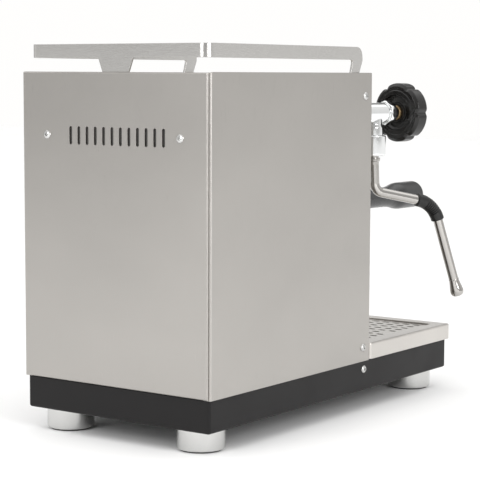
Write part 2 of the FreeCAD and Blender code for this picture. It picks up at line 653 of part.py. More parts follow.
def make_pump():
    half = "coil_size / 2"
    coil = block((f"{PUMP_X} - coil_width / 2", f"{PUMP_X} + coil_width / 2"),
                 (f"pump_y - {half}", f"pump_y + {half}"),
                 (f"{PUMP_Z} - {half}", f"{PUMP_Z} + {half}"))
    barrel = rod("barrel_radius", "barrel_length", f"{PUMP_X} - barrel_length / 2", "pump_y",
                 PUMP_Z, RIGHTWARD)
    chamber = rod("piston_bore", "piston_length + 12", f"{PUMP_X} - piston_length / 2 - 6",
                  "pump_y", PUMP_Z, RIGHTWARD)
    sub_part(cut(fuse([coil, barrel]), [chamber], "vibration_pump"), "vibration_pump")
    piston = rod("piston_radius", "piston_length", f"{PUMP_X} - piston_length / 2", "pump_y",
                 PUMP_Z, RIGHTWARD, "pump_piston")
    sub_part(piston, "pump_piston")
    mounts = [block((f"{PUMP_X} + ({side}) * 16 - pump_mount_size / 2",
                     f"{PUMP_X} + ({side}) * 16 + pump_mount_size / 2"),
                    ("pump_y - pump_mount_size / 2", "pump_y + pump_mount_size / 2"),
                    (DECK, f"{PUMP_Z} - {half}")) for side in (-1, 1)]
    sub_part(fuse(mounts, "pump_mounts"), "pump_mounts")
    box = block(("mid_x + control_x - control_width / 2", "mid_x + control_x + control_width / 2"),
                ("rear_y - shelf_back - control_depth - 8", "rear_y - shelf_back - 8"),
                (DECK, f"{DECK} + control_height"), "control_box")
    sub_part(box, "control_box")


def make_boiler():
    height = "(boiler_joint - boiler_floor)"
    lower = turned("boiler_lower_turning", [
        ("0", "0"), ("boiler_radius", "0"),
        ("boiler_radius", f"{height} - boiler_flange_thick"),
        ("boiler_flange", f"{height} - boiler_flange_thick"), ("boiler_flange", height),
        ("boiler_radius - boiler_wall", height),
        ("boiler_radius - boiler_wall", "boiler_wall"), ("0", "boiler_wall")],
        "mid_x", "boiler_y", f"{DECK} + boiler_floor")
    boss = centred("boss_width",
                   (f"{FRONT} + cover_thick + bracket_back + bracket_thick",
                    "boiler_y - boiler_radius + 6"),
                   (f"{DECK} + boss_low", f"{DECK} + boss_high"))
    inside = rod("boiler_radius - boiler_wall", f"{height} - boiler_wall", "mid_x",
                 "boiler_y", f"{DECK} + boiler_floor + boiler_wall")
    sub_part(cut(fuse([lower, boss]), [inside], "boiler_lower"), "boiler_lower")
    rise = "(boiler_roof - boiler_joint)"
    upper = turned("boiler_upper", [
        ("boiler_radius - boiler_wall", "0"), ("boiler_flange", "0"),
        ("boiler_flange", "boiler_flange_thick"), ("boiler_radius", "boiler_flange_thick"),
        ("boiler_radius", rise), ("0", rise), ("0", f"{rise} - boiler_wall"),
        ("boiler_radius - boiler_wall", f"{rise} - boiler_wall")],
        "mid_x", "boiler_y", f"{DECK} + boiler_joint")
    sub_part(upper, "boiler_upper")
    heater = doc.addObject("Part::Torus", "heating_element")
    bind(heater, Radius1="heater_radius", Radius2="heater_tube")
    place(heater, "mid_x", "boiler_y", f"{DECK} + heater_rise")
    sub_part(heater, "heating_element")
    back = f"{FRONT} + cover_thick + bracket_back"
    bracket = centred("bracket_width", (back, f"{back} + bracket_thick"),
                      (f"{DECK} + bracket_low", f"{DECK} + bracket_high"))
    mouth = centred("neck_width", (back, f"{back} + bracket_thick"),
                    (f"{DECK} + neck_low", f"{DECK} + neck_high"))
    gauge = rod("gauge_radius + 1", "3 * bracket_thick", "mid_x + gauge_x", back,
                f"{DECK} + gauge_rise", BACKWARD)
    case = centred("display_width",
                   (back, f"{back} + bracket_thick"),
                   (f"{DECK} + display_rise - display_height / 2", f"{DECK} + bracket_high"))
    switch = block(("mid_x + switch_first - switch_width / 2 - 1", "mid_x + bracket_width / 2"),
                   (back, f"{back} + bracket_thick"),
                   (f"{DECK} + switch_rise - switch_height / 2 - 1",
                    f"{DECK} + switch_rise + switch_height / 2 + 1"))
    sub_part(cut(bracket, [mouth, gauge, case, switch], "group_bracket"), "group_bracket")
    size = "solenoid_size"
    valve = block((f"mid_x + solenoid_x - {size} / 2", f"mid_x + solenoid_x + {size} / 2"),
                  (f"{back} + bracket_thick", f"{back} + bracket_thick + {size}"),
                  (f"{DECK} + solenoid_rise - {size}", f"{DECK} + solenoid_rise"))
    coil = rod("coil_radius", "coil_length", "mid_x + solenoid_x",
               f"{back} + bracket_thick + {size}", f"{DECK} + solenoid_rise - {size} / 2",
               BACKWARD)
    sub_part(fuse([valve, coil], "solenoid_valve"), "solenoid_valve")


# ---- brewing group -----------------------------------------------------------------------

def sector(radius, height, angle, middle, z):
    """A slice of a cylinder on the group's axis, centred on a direction in degrees."""
    piece = doc.addObject("Part::Cylinder", "sector")
    bind(piece, Radius=radius, Height=height, Angle=angle)
    spin = FreeCAD.Rotation(FreeCAD.Vector(0, 0, 1), middle - amount(angle) / 2)
    return place(piece, "mid_x", GROUP_Y, z, spin)


def make_group():
    bell = turned("bell", [
        ("0", "bell_ceiling"), ("bell_bore", "bell_ceiling"), ("bell_bore", "lip_top"),
        ("lip_bore", "lip_top"), ("lip_bore", "bell_low"), ("bell_radius", "bell_low"),
        ("bell_radius", "bell_high - bell_dome"), ("bell_radius - bell_dome", "bell_high"),
        ("0", "bell_high")], "mid_x", GROUP_Y, DECK)
    neck = centred("neck_width", (GROUP_Y, f"{FRONT} + cover_thick + bracket_back + bracket_thick"),
                   (f"{DECK} + neck_low", f"{DECK} + neck_high"))
    collar = centred("collar_width", (f"{FRONT} - collar_thick", FRONT),
                     (f"{DECK} + collar_low", f"{DECK} + collar_high"))
    room = rod("bell_bore", "bell_ceiling - lip_top", "mid_x", GROUP_Y, f"{DECK} + lip_top")
    notches = [sector("bell_bore", "lip_top - bell_low", "notch_angle",
                      side - SIZES["handle_turn"], f"{DECK} + bell_low") for side in (0, 180)]
    sub_part(cut(fuse([bell, neck, collar]), [room] + notches, "group_head"), "group_head")
    seal = ring("gasket_outer", "gasket_inner", "gasket_thick", "mid_x", GROUP_Y,
                f"{DECK} + bell_ceiling - gasket_thick", name="group_gasket")
    sub_part(seal, "group_gasket")
    plate = rod("screen_radius", "screen_high - screen_low", "mid_x", GROUP_Y,
                f"{DECK} + screen_low")
    hub = rod("screen_screw", "bell_ceiling - screen_low", "mid_x", GROUP_Y,
              f"{DECK} + screen_low")
    sub_part(fuse([plate, hub], "shower_screen"), "shower_screen")


def make_portafilter():
    cup = turned("filter_cup", [
        ("0", "cup_low"), ("cup_radius - 4", "cup_low"), ("cup_radius", "cup_low + 4"),
        ("cup_radius", "cup_rim - 1.2"), ("cup_bore", "cup_rim - 1.2"),
        ("cup_bore", "cup_low + cup_floor"), ("0", "cup_low + cup_floor")],
        "mid_x", GROUP_Y, DECK)
    arm = rod("arm_radius", "arm_reach - cup_bore - 1", "mid_x", f"{GROUP_Y} - cup_bore - 1",
              f"{DECK} + handle_rise", FORWARD)
    ears = []
    for side in (0, 180):
        ears.append(sector("ear_radius", "ear_thick", "ear_angle", side, f"{DECK} + ear_low"))
    bore = rod("cup_bore", "cup_rim - cup_low - cup_floor", "mid_x", GROUP_Y,
               f"{DECK} + cup_low + cup_floor")
    drain = rod("spout_bore", "cup_floor", "mid_x", GROUP_Y, f"{DECK} + cup_low")
    holder = cut(fuse([cup, arm] + ears), [bore, drain], "portafilter_body")
    sub_part(holder, "portafilter_body")

    rim = "(cup_rim - 1.2)"
    basket = turned("filter_basket", [
        ("0", f"{rim} - basket_depth"), ("basket_radius - 2", f"{rim} - basket_depth"),
        ("basket_radius", f"{rim} - basket_depth + 4"), ("basket_radius", rim),
        ("basket_rim", rim), ("basket_rim", "cup_rim"),
        ("basket_radius - basket_wall", "cup_rim"),
        ("basket_radius - basket_wall", f"{rim} - basket_depth + 4"),
        ("basket_radius - 2.5", f"{rim} - basket_depth + basket_wall"),
        ("0", f"{rim} - basket_depth + basket_wall")], "mid_x", GROUP_Y, DECK)
    sub_part(basket, "filter_basket")

    stem = rod("spout_stem", "cup_low - spout_fork", "mid_x", GROUP_Y,
               f"{DECK} + spout_fork")
    bar = centred("2 * spout_spread", (f"{GROUP_Y} - spout_radius", f"{GROUP_Y} + spout_radius"),
                  (f"{DECK} + spout_fork - 2", f"{DECK} + spout_fork + 6"))
    pair = [rod("spout_radius", "spout_fork - spout_low + 6",
                f"mid_x + ({side}) * spout_spread", GROUP_Y, f"{DECK} + spout_low")
            for side in (-1, 1)]
    bores = [rod("spout_bore", "spout_fork - spout_low",
                 f"mid_x + ({side}) * spout_spread", GROUP_Y, f"{DECK} + spout_low")
             for side in (-1, 1)]
    sub_part(cut(fuse([stem, bar] + pair), bores, "double_spout"), "double_spout")

    ferrule = rod("ferrule_radius", "ferrule_length", "mid_x", f"{GROUP_Y} - arm_reach",
                  f"{DECK} + handle_rise", FORWARD, "handle_ferrule")
    sub_part(ferrule, "handle_ferrule")
    start = "arm_reach + ferrule_length"
    grip = turned("handle_grip", [
        ("0", start), ("ferrule_radius - 1", start), ("grip_neck", f"{start} + 14"),
        ("grip_neck", "0.5 * grip_swell + 0.5 * arm_reach + 8"),
        ("grip_radius - 1", "grip_swell - 8"), ("grip_radius", "grip_swell + 8"),
        ("grip_radius", "grip_reach - grip_round"),
        ("grip_radius - 2", "grip_reach - grip_round / 3"),
        ("grip_radius - grip_round", "grip_reach"), ("0", "grip_reach")],
        "mid_x", GROUP_Y, f"{DECK} + handle_rise", FORWARD)
    sub_part(grip, "handle_grip")


# ---- steam valve and wand ----------------------------------------------------------------

YAW = "(valve_yaw * 1 deg)"


def valve_point(distance):
    """A place on the valve's axis, counted forwards from above the wand's ball."""
    x = f"{WAND_X} - ({distance}) * sin{YAW}"
    y = f"{WAND_Y} - ({distance}) * cos{YAW}"
    return x, y, f"{DECK} + valve_rise"


def make_steam_valve():
    yaw = math.radians(amount("valve_yaw"))
    ahead = towards(-math.sin(yaw), -math.cos(yaw), 0)
    barrel = rod("valve_radius", "valve_tail + valve_front", *valve_point("-valve_tail"), ahead)
    stem = rod("stem_radius", "valve_rise - stem_low", WAND_X, WAND_Y, f"{DECK} + stem_low")
    flange = rod("collar_seat", "2.5",
                 "mid_x - wand_x + wand_y * tan(valve_yaw * 1 deg)", FRONT,
                 f"{DECK} + valve_rise", FORWARD)
    bore = rod("spindle_bore", "valve_front - spindle_start + 1",
               *valve_point("spindle_start - 0.5"), ahead)
    sub_part(cut(fuse([barrel, stem, flange]), [bore], "valve_body"), "valve_body")
    nut = ring("nut_radius", "spindle_bore", "nut_length", *valve_point("valve_front"), ahead,
               name="packing_nut")
    sub_part(nut, "packing_nut")
    spindle = rod("spindle_radius", "spindle_end - spindle_start",
                  *valve_point("spindle_start"), ahead, "valve_spindle")
    sub_part(spindle, "valve_spindle")

    knob = new_body("knob_turning")
    section = outline(new_sketch(knob, "XZ_Plane", "knob_outline"), [
        ("spindle_radius", "knob_recess"), ("knob_recess_radius", "knob_recess"),
        ("knob_recess_radius", "0"), ("knob_radius - 3", "0"), ("knob_radius", "3"),
        ("knob_radius", "knob_front - knob_back - 4"),
        ("knob_radius - 4", "knob_front - knob_back"), ("0", "knob_front - knob_back"),
        ("0", "spindle_end - knob_back"), ("spindle_radius", "spindle_end - knob_back")])
    turning = knob.newObject("PartDesign::Revolution", "knob_revolution")
    turning.Profile = section
    turning.ReferenceAxis = (section, ["V_Axis"])
    turning.Angle = 360
    flute = circle(new_sketch(knob, "XY_Plane", "flute"), "flute_reach", "0", "flute_radius")
    groove = pocket_through(knob, flute, "first_flute")
    flutes = knob.newObject("PartDesign::PolarPattern", "flutes")
    flutes.Originals = [groove]
    flutes.Axis = (flute, ["N_Axis"])
    bind(flutes, Occurrences="flute_count")
    knob.Tip = flutes
    place(knob, *valve_point("knob_back"), ahead)
    sub_part(knob, "steam_knob")


def make_wand():
    ball_z = f"{DECK} + ball_rise"
    nut = rod("ball_nut_radius", "stem_low - ball_nut_low", WAND_X, WAND_Y,
              f"{DECK} + ball_nut_low")
    room = rod("ball_nut_bore", "stem_low - ball_nut_low - 4", WAND_X, WAND_Y,
               f"{DECK} + ball_nut_low + 2")
    mouth = rod("nut_mouth", "3", WAND_X, WAND_Y, f"{DECK} + ball_nut_low")
    sub_part(cut(nut, [room, mouth], "ball_nut"), "ball_nut")
    seat = ring("seat_radius", "5.5", "seat_thick", WAND_X, WAND_Y,
                f"{ball_z} + 6.2", name="ball_seat")
    sub_part(seat, "ball_seat")

    yaw = math.radians(amount("wand_yaw"))
    outward = FreeCAD.Vector(-math.sin(yaw), -math.cos(yaw), 0)
    ball = FreeCAD.Vector(amount(WAND_X), amount(WAND_Y), amount(ball_z))

    def at(reach, rise):
        place_on = ball + outward * reach
        place_on.z = amount(DECK) + rise
        return tuple(place_on)

    tip_end = (amount("tip_reach"), amount("tip_rise"))
    knee = (amount("knee_reach"), amount("knee_rise"))
    slope = math.hypot(tip_end[0] - knee[0], tip_end[1] - knee[1])
    back = amount("tip_length") / slope
    tip_start = tuple(end + (bent - end) * back for end, bent in zip(tip_end, knee))
    elbow = at(amount("elbow_reach"), amount("elbow_rise"))
    path = route_wire([tuple(ball), elbow, at(*knee), at(*tip_start)],
                      ["elbow_bend", "knee_bend"])
    pipe = doc.addObject("Part::Feature", "wand_pipe")
    bead = Part.makeSphere(amount("ball_radius"), ball)
    pipe.Shape = swept(path, "pipe_radius").fuse(bead).removeSplitter()
    pipe.Placement = FreeCAD.Placement()
    sub_part(pipe, "wand_pipe")

    run, knee_arc = path.Edges[2], path.Edges[3]
    begin = run.valueAt(run.LastParameter - amount("sleeve_lead"))
    lead = Part.LineSegment(begin, run.valueAt(run.LastParameter)).toShape()
    cover = Part.Wire([lead, knee_arc])
    sleeve = doc.addObject("Part::Feature", "wand_sleeve")
    sleeve.Shape = swept(cover, "sleeve_radius").cut(swept(cover, "pipe_radius"))
    sleeve.Placement = FreeCAD.Placement()
    sub_part(sleeve, "wand_sleeve")

    start = FreeCAD.Vector(*at(*tip_start))
    heading = (FreeCAD.Vector(*at(*tip_end)) - start).normalize()
    tip = turned("steam_tip", [
        ("0", "0"), ("tip_radius - 2", "0"), ("tip_radius", "3"),
        ("tip_radius", "tip_length - 5"), ("tip_radius - 3", "tip_length"),
        ("0", "tip_length")], start.x, start.y, start.z,
        towards(heading.x, heading.y, heading.z))
    sub_part(tip, "steam_tip")


# ---- drip tray ---------------------------------------------------------------------------

def make_drip_tray():
    y_front = f"({FRONT} - tray_reach)"
    y_back = f"({FRONT} - gap)"
    low = f"{DECK} + gap"
    high = f"{DECK} + tray_height"
    shelf = f"{high} - grid_drop - grid_thick - gap"

    def inside_tray(margin, rear_margin, z):
        return centred(f"body_width - 2 * ({margin})",
                       (f"{y_front} + {margin}", f"{y_back} - ({rear_margin})"), z)

    outside = inside_tray("0", "0", (low, high))
    recess = inside_tray("tray_rim", "tray_rear_rim", (shelf, f"{high} + 1"))
    basin = inside_tray("(tray_rim + tray_step)", "tray_rear_rim + tray_step",
                        (f"{low} + tray_floor", f"{high} + 1"))
    under = (f"{low} - 1", f"{high} - tray_sheet")
    groove = cut(inside_tray("tray_skirt", "tray_skirt", under),
                 [inside_tray("(tray_rim - tray_sheet)", "0", under)])
    sub_part(cut(outside, [recess, basin, groove], "drip_tray"), "drip_tray")

    half = "(body_width / 2 - tray_rim - gap)"
    deep = "(tray_reach - tray_rim - tray_rear_rim - 3 * gap)"
    first_x = "(-(drip_count_x - 1) * drip_pitch_x / 2)"
    grid = sheet_with_slots(
        "grid_sheet", (f"-{half}", half, "0", deep), "grid_thick",
        (f"{first_x} - drip_slot_length / 2", f"{first_x} + drip_slot_length / 2",
         "drip_first_y - drip_slot_width / 2", "drip_first_y + drip_slot_width / 2"),
        ("drip_count_x", "drip_count_y"), ("drip_pitch_x", "drip_pitch_y"),
        ("mid_x", f"{y_front} + tray_rim + gap", f"{high} - grid_drop - grid_thick"))
    sheet_z = (f"{high} - grid_drop - grid_thick", f"{high} - grid_drop")
    cut_z = (f"{high} - grid_drop - 2 * grid_thick", high)
    first_slot = f"mid_x + {first_x}"
    grip_y = (f"{FRONT} - grip_notch_y - drip_pitch_y / 2",
              f"{FRONT} - grip_notch_y + drip_pitch_y / 2")
    web = block((f"mid_x - {half}", f"{first_slot} + drip_pitch_x / 2"), grip_y, sheet_z)
    grip = block((f"mid_x - {half} - 1", f"mid_x - {half} + grip_notch_depth"),
                 (f"{FRONT} - grip_notch_y - grip_notch_length / 2",
                  f"{FRONT} - grip_notch_y + grip_notch_length / 2"), cut_z)
    drain = block(("mid_x + solenoid_x - drain_notch / 2", "mid_x + solenoid_x + drain_notch / 2"),
                  (f"{FRONT} - drain_out - drain_radius - 2", FRONT), cut_z)
    sub_part(cut(fuse([grid, web]), [grip, drain], "drip_grid"), "drip_grid")


# ---- instruments -------------------------------------------------------------------------

def make_gauge():
    x = "mid_x + gauge_x"
    z = f"{DECK} + gauge_rise"
    rim = f"{FRONT} - gauge_proud"
    case = fuse([rod("gauge_bezel", "gauge_proud", x, FRONT, z, FORWARD),
                 rod("gauge_radius", "gauge_deep", x, FRONT, z, BACKWARD)])
    room = rod("gauge_window", "gauge_proud + cover_thick", x, rim, z, BACKWARD)
    sub_part(cut(case, [room], "gauge_case"), "gauge_case")
    dial = rod("dial_radius", "0.8", x, f"{FRONT} + cover_thick - 0.8", z, BACKWARD,
               "gauge_dial")
    sub_part(dial, "gauge_dial")
    glass = rod("dial_radius", "1.2", x, f"{rim} + 0.6", z, BACKWARD, "gauge_glass")
    sub_part(glass, "gauge_glass")
    body = new_body("gauge_needle")
    hand = outline(new_sketch(body, "XZ_Plane", "hand_outline"), [
        ("-needle_width / 2", "needle_tail"), ("-needle_width / 2", "0"),
        ("-needle_width / 6", "-needle_length"), ("needle_width / 6", "-needle_length"),
        ("needle_width / 2", "0"), ("needle_width / 2", "needle_tail")])
    pad(body, hand, "needle_thick", "hand")
    hub = circle(new_sketch(body, "XZ_Plane", "hub_outline"), "0", "0", "needle_hub")
    body.Tip = pad(body, hub, "needle_thick + 0.6", "hub")
    at_zero = FreeCAD.Rotation(FreeCAD.Vector(0, 1, 0), amount("needle_zero"))
    place(body, x, f"{FRONT} - 0.2", z, at_zero)
    sub_part(body, "gauge_needle")


def make_display():
    z = f"{DECK} + display_rise"
    face = f"{FRONT} - display_proud"
    bezel = centred("display_width", (face, FRONT),
                    (f"{z} - display_height / 2", f"{z} + display_height / 2"))
    case = centred("display_width - 6", (FRONT, f"{FRONT} + display_deep"),
                   (f"{z} + 2 - display_height / 2", f"{z} - 2 + display_height / 2"))
    window = block(("mid_x - screen_offset - screen_width / 2",
                    "mid_x - screen_offset + screen_width / 2"), (face, f"{face} + 1.4"),
                   (f"{z} - screen_height / 2", f"{z} + screen_height / 2"))
    places = {"up_button": f"{z} + button_step", "down_button": f"{z} - button_step"}
    wells = [rod("button_bore", "display_proud + 4", "mid_x + button_x", face, height,
                 BACKWARD) for height in places.values()]
    sub_part(cut(fuse([bezel, case]), [window] + wells, "display_bezel"), "display_bezel")
    glass = block(("mid_x - screen_offset - screen_width / 2",
                   "mid_x - screen_offset + screen_width / 2"),
                  (f"{face} + 0.3", f"{face} + 1.4"),
                  (f"{z} - screen_height / 2", f"{z} + screen_height / 2"), "display_screen")
    sub_part(glass, "display_screen")
    for label, height in places.items():
        button = rod("button_radius", "button_proud + display_proud", "mid_x + button_x",
                     f"{face} - button_proud", height, BACKWARD, label)
        sub_part(button, label)


def make_switches():
    frames = []
    z = f"{DECK} + switch_rise"
    names = ("power_rocker", "brew_rocker", "steam_rocker")
    for number, label in enumerate(names):
        middle = f"mid_x + switch_first + {number} * switch_pitch"
        bezel = block((f"{middle} - switch_width / 2", f"{middle} + switch_width / 2"),
                      (f"{FRONT} - switch_proud", FRONT),
                      (f"{z} - switch_height / 2", f"{z} + switch_height / 2"))
        case = block((f"{middle} + 1 - switch_width / 2", f"{middle} - 1 + switch_width / 2"),
                     (FRONT, f"{FRONT} + switch_deep"),
                     (f"{z} + 1 - switch_height / 2", f"{z} - 1 + switch_height / 2"))
        room = block((f"{middle} + switch_wall - switch_width / 2",
                      f"{middle} - switch_wall + switch_width / 2"),
                     (f"{FRONT} - switch_proud", f"{FRONT} + rocker_depth + 3"),
                     (f"{z} + switch_wall - switch_height / 2",
                      f"{z} - switch_wall + switch_height / 2"))
        frames.append(cut(fuse([bezel, case]), [room]))
        make_rocker(label, middle, z)
    sub_part(fuse(frames, "switch_frames"), "switch_frames")


def make_rocker(label, middle, z):
    """A rocker cap, tipped so that its upper half stands out while it is off."""
    body = new_body(label)
    half = "(switch_height / 2 - switch_wall - 0.7)"
    section = outline(new_sketch(body, "YZ_Plane", label + "_outline",
                                 "-(switch_width / 2 - switch_wall - gap)"), [
        ("-rocker_proud - 1.4", f"-{half}"), ("-rocker_proud", "0"),
        ("-rocker_proud - 1.4", half), ("rocker_depth - 6", half),
        ("rocker_depth - 2", "0"), ("rocker_depth - 6", f"-{half}")])
    body.Tip = pad(body, section, "switch_width - 2 * switch_wall - 2 * gap")
    tip = FreeCAD.Rotation(FreeCAD.Vector(1, 0, 0), amount("rocker_tilt"))
    place(body, middle, f"{FRONT} + 1", z, tip)
    sub_part(body, label)


# ---- pipes between the inner pieces ------------------------------------------------------

def make_pipes():
    dock_y = "rear_y - tank_back - tank_depth / 2"
    dock_z = f"{DECK} + shelf_top - shelf_thick - dock_height / 2 - 6"
    inlet = f"{PUMP_X} - barrel_length / 2"
    outlet = f"{PUMP_X} + barrel_length / 2"
    tube("suction_hose", [
        ("mid_x - dock_offset", f"{dock_y} - dock_radius", dock_z),
        ("mid_x - dock_offset", "pump_y + 31", dock_z),
        (f"{inlet} - 18", "pump_y + 29", dock_z),
        (f"{inlet} - 18", "pump_y", PUMP_Z), (inlet, "pump_y", PUMP_Z)],
        "hose_radius", "hose_bend - 2")
    rear = "boiler_y + boiler_radius"
    tube("pressure_pipe", [
        (outlet, "pump_y", PUMP_Z), (f"{outlet} + 22", "pump_y", PUMP_Z),
        (f"{outlet} + 22", "pump_y", f"{DECK} + boss_low + 12"),
        ("mid_x", "pump_y", f"{DECK} + boss_low + 12"),
        ("mid_x", rear, f"{DECK} + boss_low + 12")],
        "pressure_radius", "hose_bend")
    valve_end = valve_point("-valve_tail")
    approach = valve_point("-valve_tail - 42")
    high = f"{DECK} + boiler_roof + 16"
    tube("steam_pipe", [
        ("mid_x - 22", "boiler_y", f"{DECK} + boiler_roof"),
        ("mid_x - 22", "boiler_y", high),
        (approach[0], approach[1], high), approach, valve_end],
        "steam_radius", "hose_bend - 3")
    drain_z = f"{DECK} + drain_rise"
    valve_y = f"{FRONT} + cover_thick + bracket_back + bracket_thick + solenoid_size / 2"
    tube("drain_tube", [
        ("mid_x + solenoid_x", valve_y, f"{DECK} + solenoid_rise - solenoid_size"),
        ("mid_x + solenoid_x", valve_y, drain_z),
        ("mid_x + solenoid_x", f"{FRONT} - drain_out", drain_z),
        ("mid_x + solenoid_x", f"{FRONT} - drain_out", f"{drain_z} - 8")],
        "drain_radius", "hose_bend - 4")


# ---- the whole machine -------------------------------------------------------------------

def make_machine():
    make_base()
    make_feet()
    make_side_panel("left_side_panel", -1)
    make_side_panel("right_side_panel", 1)
    make_rear_panel()
    make_cover_screws()
    make_front_panel()
    make_roof()
    make_cup_rail()
    make_tank()
    make_tank_shelf()
    make_pump()
    make_boiler()
    make_group()
    make_portafilter()
    make_steam_valve()
    make_wand()
    make_drip_tray()
    make_gauge()
    make_display()
    make_switches()
    make_pipes()


def check_document():
    """Stops the build if an object failed or a sub-part has no sound shape."""
    for thing in doc.Objects:
        if "Invalid" in thing.State or "Error" in thing.State:
            raise RuntimeError(f"{thing.Name} ({thing.Label}) failed: {thing.State}")
    for thing in SUB_PARTS:
        if thing.Shape.isNull() or not thing.Shape.isValid():
            raise RuntimeError(f"{thing.Label} has no sound shape")


def write_parts():
    os.makedirs("parts", exist_ok=True)
    for thing in SUB_PARTS:
        thing.Shape.exportStep(os.path.join("parts", thing.Label + ".step"))


make_machine()
doc.recompute()
check_document()
write_parts()
for piece in SUB_PARTS:
    print(piece.Label, len(piece.Shape.Solids), round(piece.Shape.Volume / 1000, 2), "cm3")
print(len(SUB_PARTS), "sub-parts")
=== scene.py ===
import math

import bmesh
import bpy
import numpy as np
from bpy.props import FloatProperty, FloatVectorProperty, IntProperty, PointerProperty
from mathutils import Matrix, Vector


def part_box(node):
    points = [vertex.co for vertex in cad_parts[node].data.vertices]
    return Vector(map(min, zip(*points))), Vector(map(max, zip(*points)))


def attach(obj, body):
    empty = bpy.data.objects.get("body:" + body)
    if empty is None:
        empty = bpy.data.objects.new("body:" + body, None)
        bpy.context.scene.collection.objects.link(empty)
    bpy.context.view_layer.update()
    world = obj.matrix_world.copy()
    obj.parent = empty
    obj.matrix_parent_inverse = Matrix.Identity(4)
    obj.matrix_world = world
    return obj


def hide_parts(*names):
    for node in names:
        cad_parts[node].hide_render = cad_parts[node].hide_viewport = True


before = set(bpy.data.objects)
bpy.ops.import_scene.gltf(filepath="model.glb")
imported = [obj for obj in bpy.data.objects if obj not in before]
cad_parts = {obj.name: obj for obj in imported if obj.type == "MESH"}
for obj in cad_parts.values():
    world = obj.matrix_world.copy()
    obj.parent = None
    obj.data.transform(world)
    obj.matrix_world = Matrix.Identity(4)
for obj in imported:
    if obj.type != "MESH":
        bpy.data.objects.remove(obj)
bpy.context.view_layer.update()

bl_info = {
    "name": "Espresso machine",
    "version": (1, 0, 0),
    "blender": (4, 5, 0),
    "location": "View3D > Sidebar > Espresso",
    "description": "Builds the covers, group, steam valve, wand and tray of an espresso machine",
    "category": "Object",
}

MM = 0.001

# Places on the machine, in millimetres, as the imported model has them.
MIDDLE = 14.0
LEFT, RIGHT = -91.0, 119.0
REAR, FRONT = 260.0, 2.0
DECK, ROOF = 49.0, 323.0
GROUP = (14.0, -70.0)
WAND = (-64.0, -44.0)
HANDLE_Z = 189
VALVE_Z = 284.0
GAUGE = (80, 2, 284)
BASE_BOX = (-88.6, 116.6, -152, 257)
FEET_X, FEET_Y = (-60.4, 88.4), (-126, 231)
VENTS_X, VENTS_Z = 9.0, 267.7
PAN_BOX = (-91.0, 119.0, -156.5, 1.7)
OPENING_BOX = (-77.0, 105.0, -142.5, -1.3)
BASIN_BOX = (-74.0, 102.0, -139.5, -4.3)
VALVE = (*WAND, VALVE_Z)
VALVE_AHEAD = (-math.sin(math.radians(10)), -math.cos(math.radians(10)), 0.0)
OUTWARD = (-0.5, -math.sqrt(0.75), 0.0)


def node_box(node):
    """A CAD node's lowest and highest corner, in millimetres."""
    low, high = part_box(node)
    return np.array(low) / MM, np.array(high) / MM


# ---- sizes and colours -------------------------------------------------------------------

class MachineSizes(bpy.types.PropertyGroup):
    """Sizes of the small shapes that finish the machine."""
    fold: FloatProperty(
        name="Sheet fold", description="Outer radius of the folded cover edges",
        default=0.0014, min=0.0003, max=0.0019, unit="LENGTH")
    edge: FloatProperty(
        name="Broken edge", description="Width of the broken edge on cut sheet",
        default=0.0003, min=0.00005, max=0.001, unit="LENGTH")
    rail_bend: FloatProperty(
        name="Rail bend", description="Outer radius of the cup rail's corners",
        default=0.0085, min=0.003, max=0.02, unit="LENGTH")
    base_edge: FloatProperty(
        name="Base edge", description="Rounding of the base's lower edge",
        default=0.0022, min=0.0005, max=0.005, unit="LENGTH")
    rib_depth: FloatProperty(
        name="Sleeve rib", description="Depth of the ribs on the wand's sleeve",
        default=0.00095, min=0.0, max=0.001, unit="LENGTH")
    rib_count: IntProperty(
        name="Sleeve ribs", description="Number of ribs round the sleeve's bend",
        default=7, min=3, max=14)
    lobe_depth: FloatProperty(
        name="Knob flute", description="Depth of the flutes in the knob's rim",
        default=0.0018, min=0.0005, max=0.004, unit="LENGTH")


class MachineColours(bpy.types.PropertyGroup):
    """Colours of the machine's finishes."""
    steel: FloatVectorProperty(
        name="Cover steel", description="Brushed covers",
        default=(0.50, 0.48, 0.455), size=3, subtype="COLOR", min=0, max=1)
    paint: FloatVectorProperty(
        name="Base paint", description="Powder coat of the base",
        default=(0.0095, 0.0088, 0.0090), size=3, subtype="COLOR", min=0, max=1)
    knob: FloatVectorProperty(
        name="Knob black", description="Moulded knob and grip",
        default=(0.007, 0.0065, 0.006), size=3, subtype="COLOR", min=0, max=1)
    chrome: FloatVectorProperty(
        name="Chrome", description="Bright plating",
        default=(0.86, 0.87, 0.87), size=3, subtype="COLOR", min=0, max=1)
    floor: FloatVectorProperty(
        name="Floor", description="Studio floor",
        default=(0.92, 0.92, 0.92), size=3, subtype="COLOR", min=0, max=1)


def sizes():
    return bpy.context.scene.machine_sizes


def colours():
    return bpy.context.scene.machine_colours


# ---- finishes ----------------------------------------------------------------------------

def add_node(tree, kind, inputs=None, **settings):
    """Adds a node; an input takes a number, a colour or another node's output."""
    made = tree.nodes.new(kind)
    for key, value in settings.items():
        setattr(made, key, value)
    for key, value in (inputs or {}).items():
        if isinstance(value, bpy.types.NodeSocket):
            tree.links.new(value, made.inputs[key])
        else:
            made.inputs[key].default_value = value
    return made


def new_finish(name):
    """An empty finish: its node tree, its shader and the piece's own coordinates."""
    made = bpy.data.materials.new(name)
    made.use_nodes = True
    tree = made.node_tree
    tree.nodes.clear()
    shader = add_node(tree, "ShaderNodeBsdfPrincipled")
    output = add_node(tree, "ShaderNodeOutputMaterial")
    tree.links.new(shader.outputs["BSDF"], output.inputs["Surface"])
    where = add_node(tree, "ShaderNodeTexCoord").outputs["Object"]
    return made, tree, shader, where


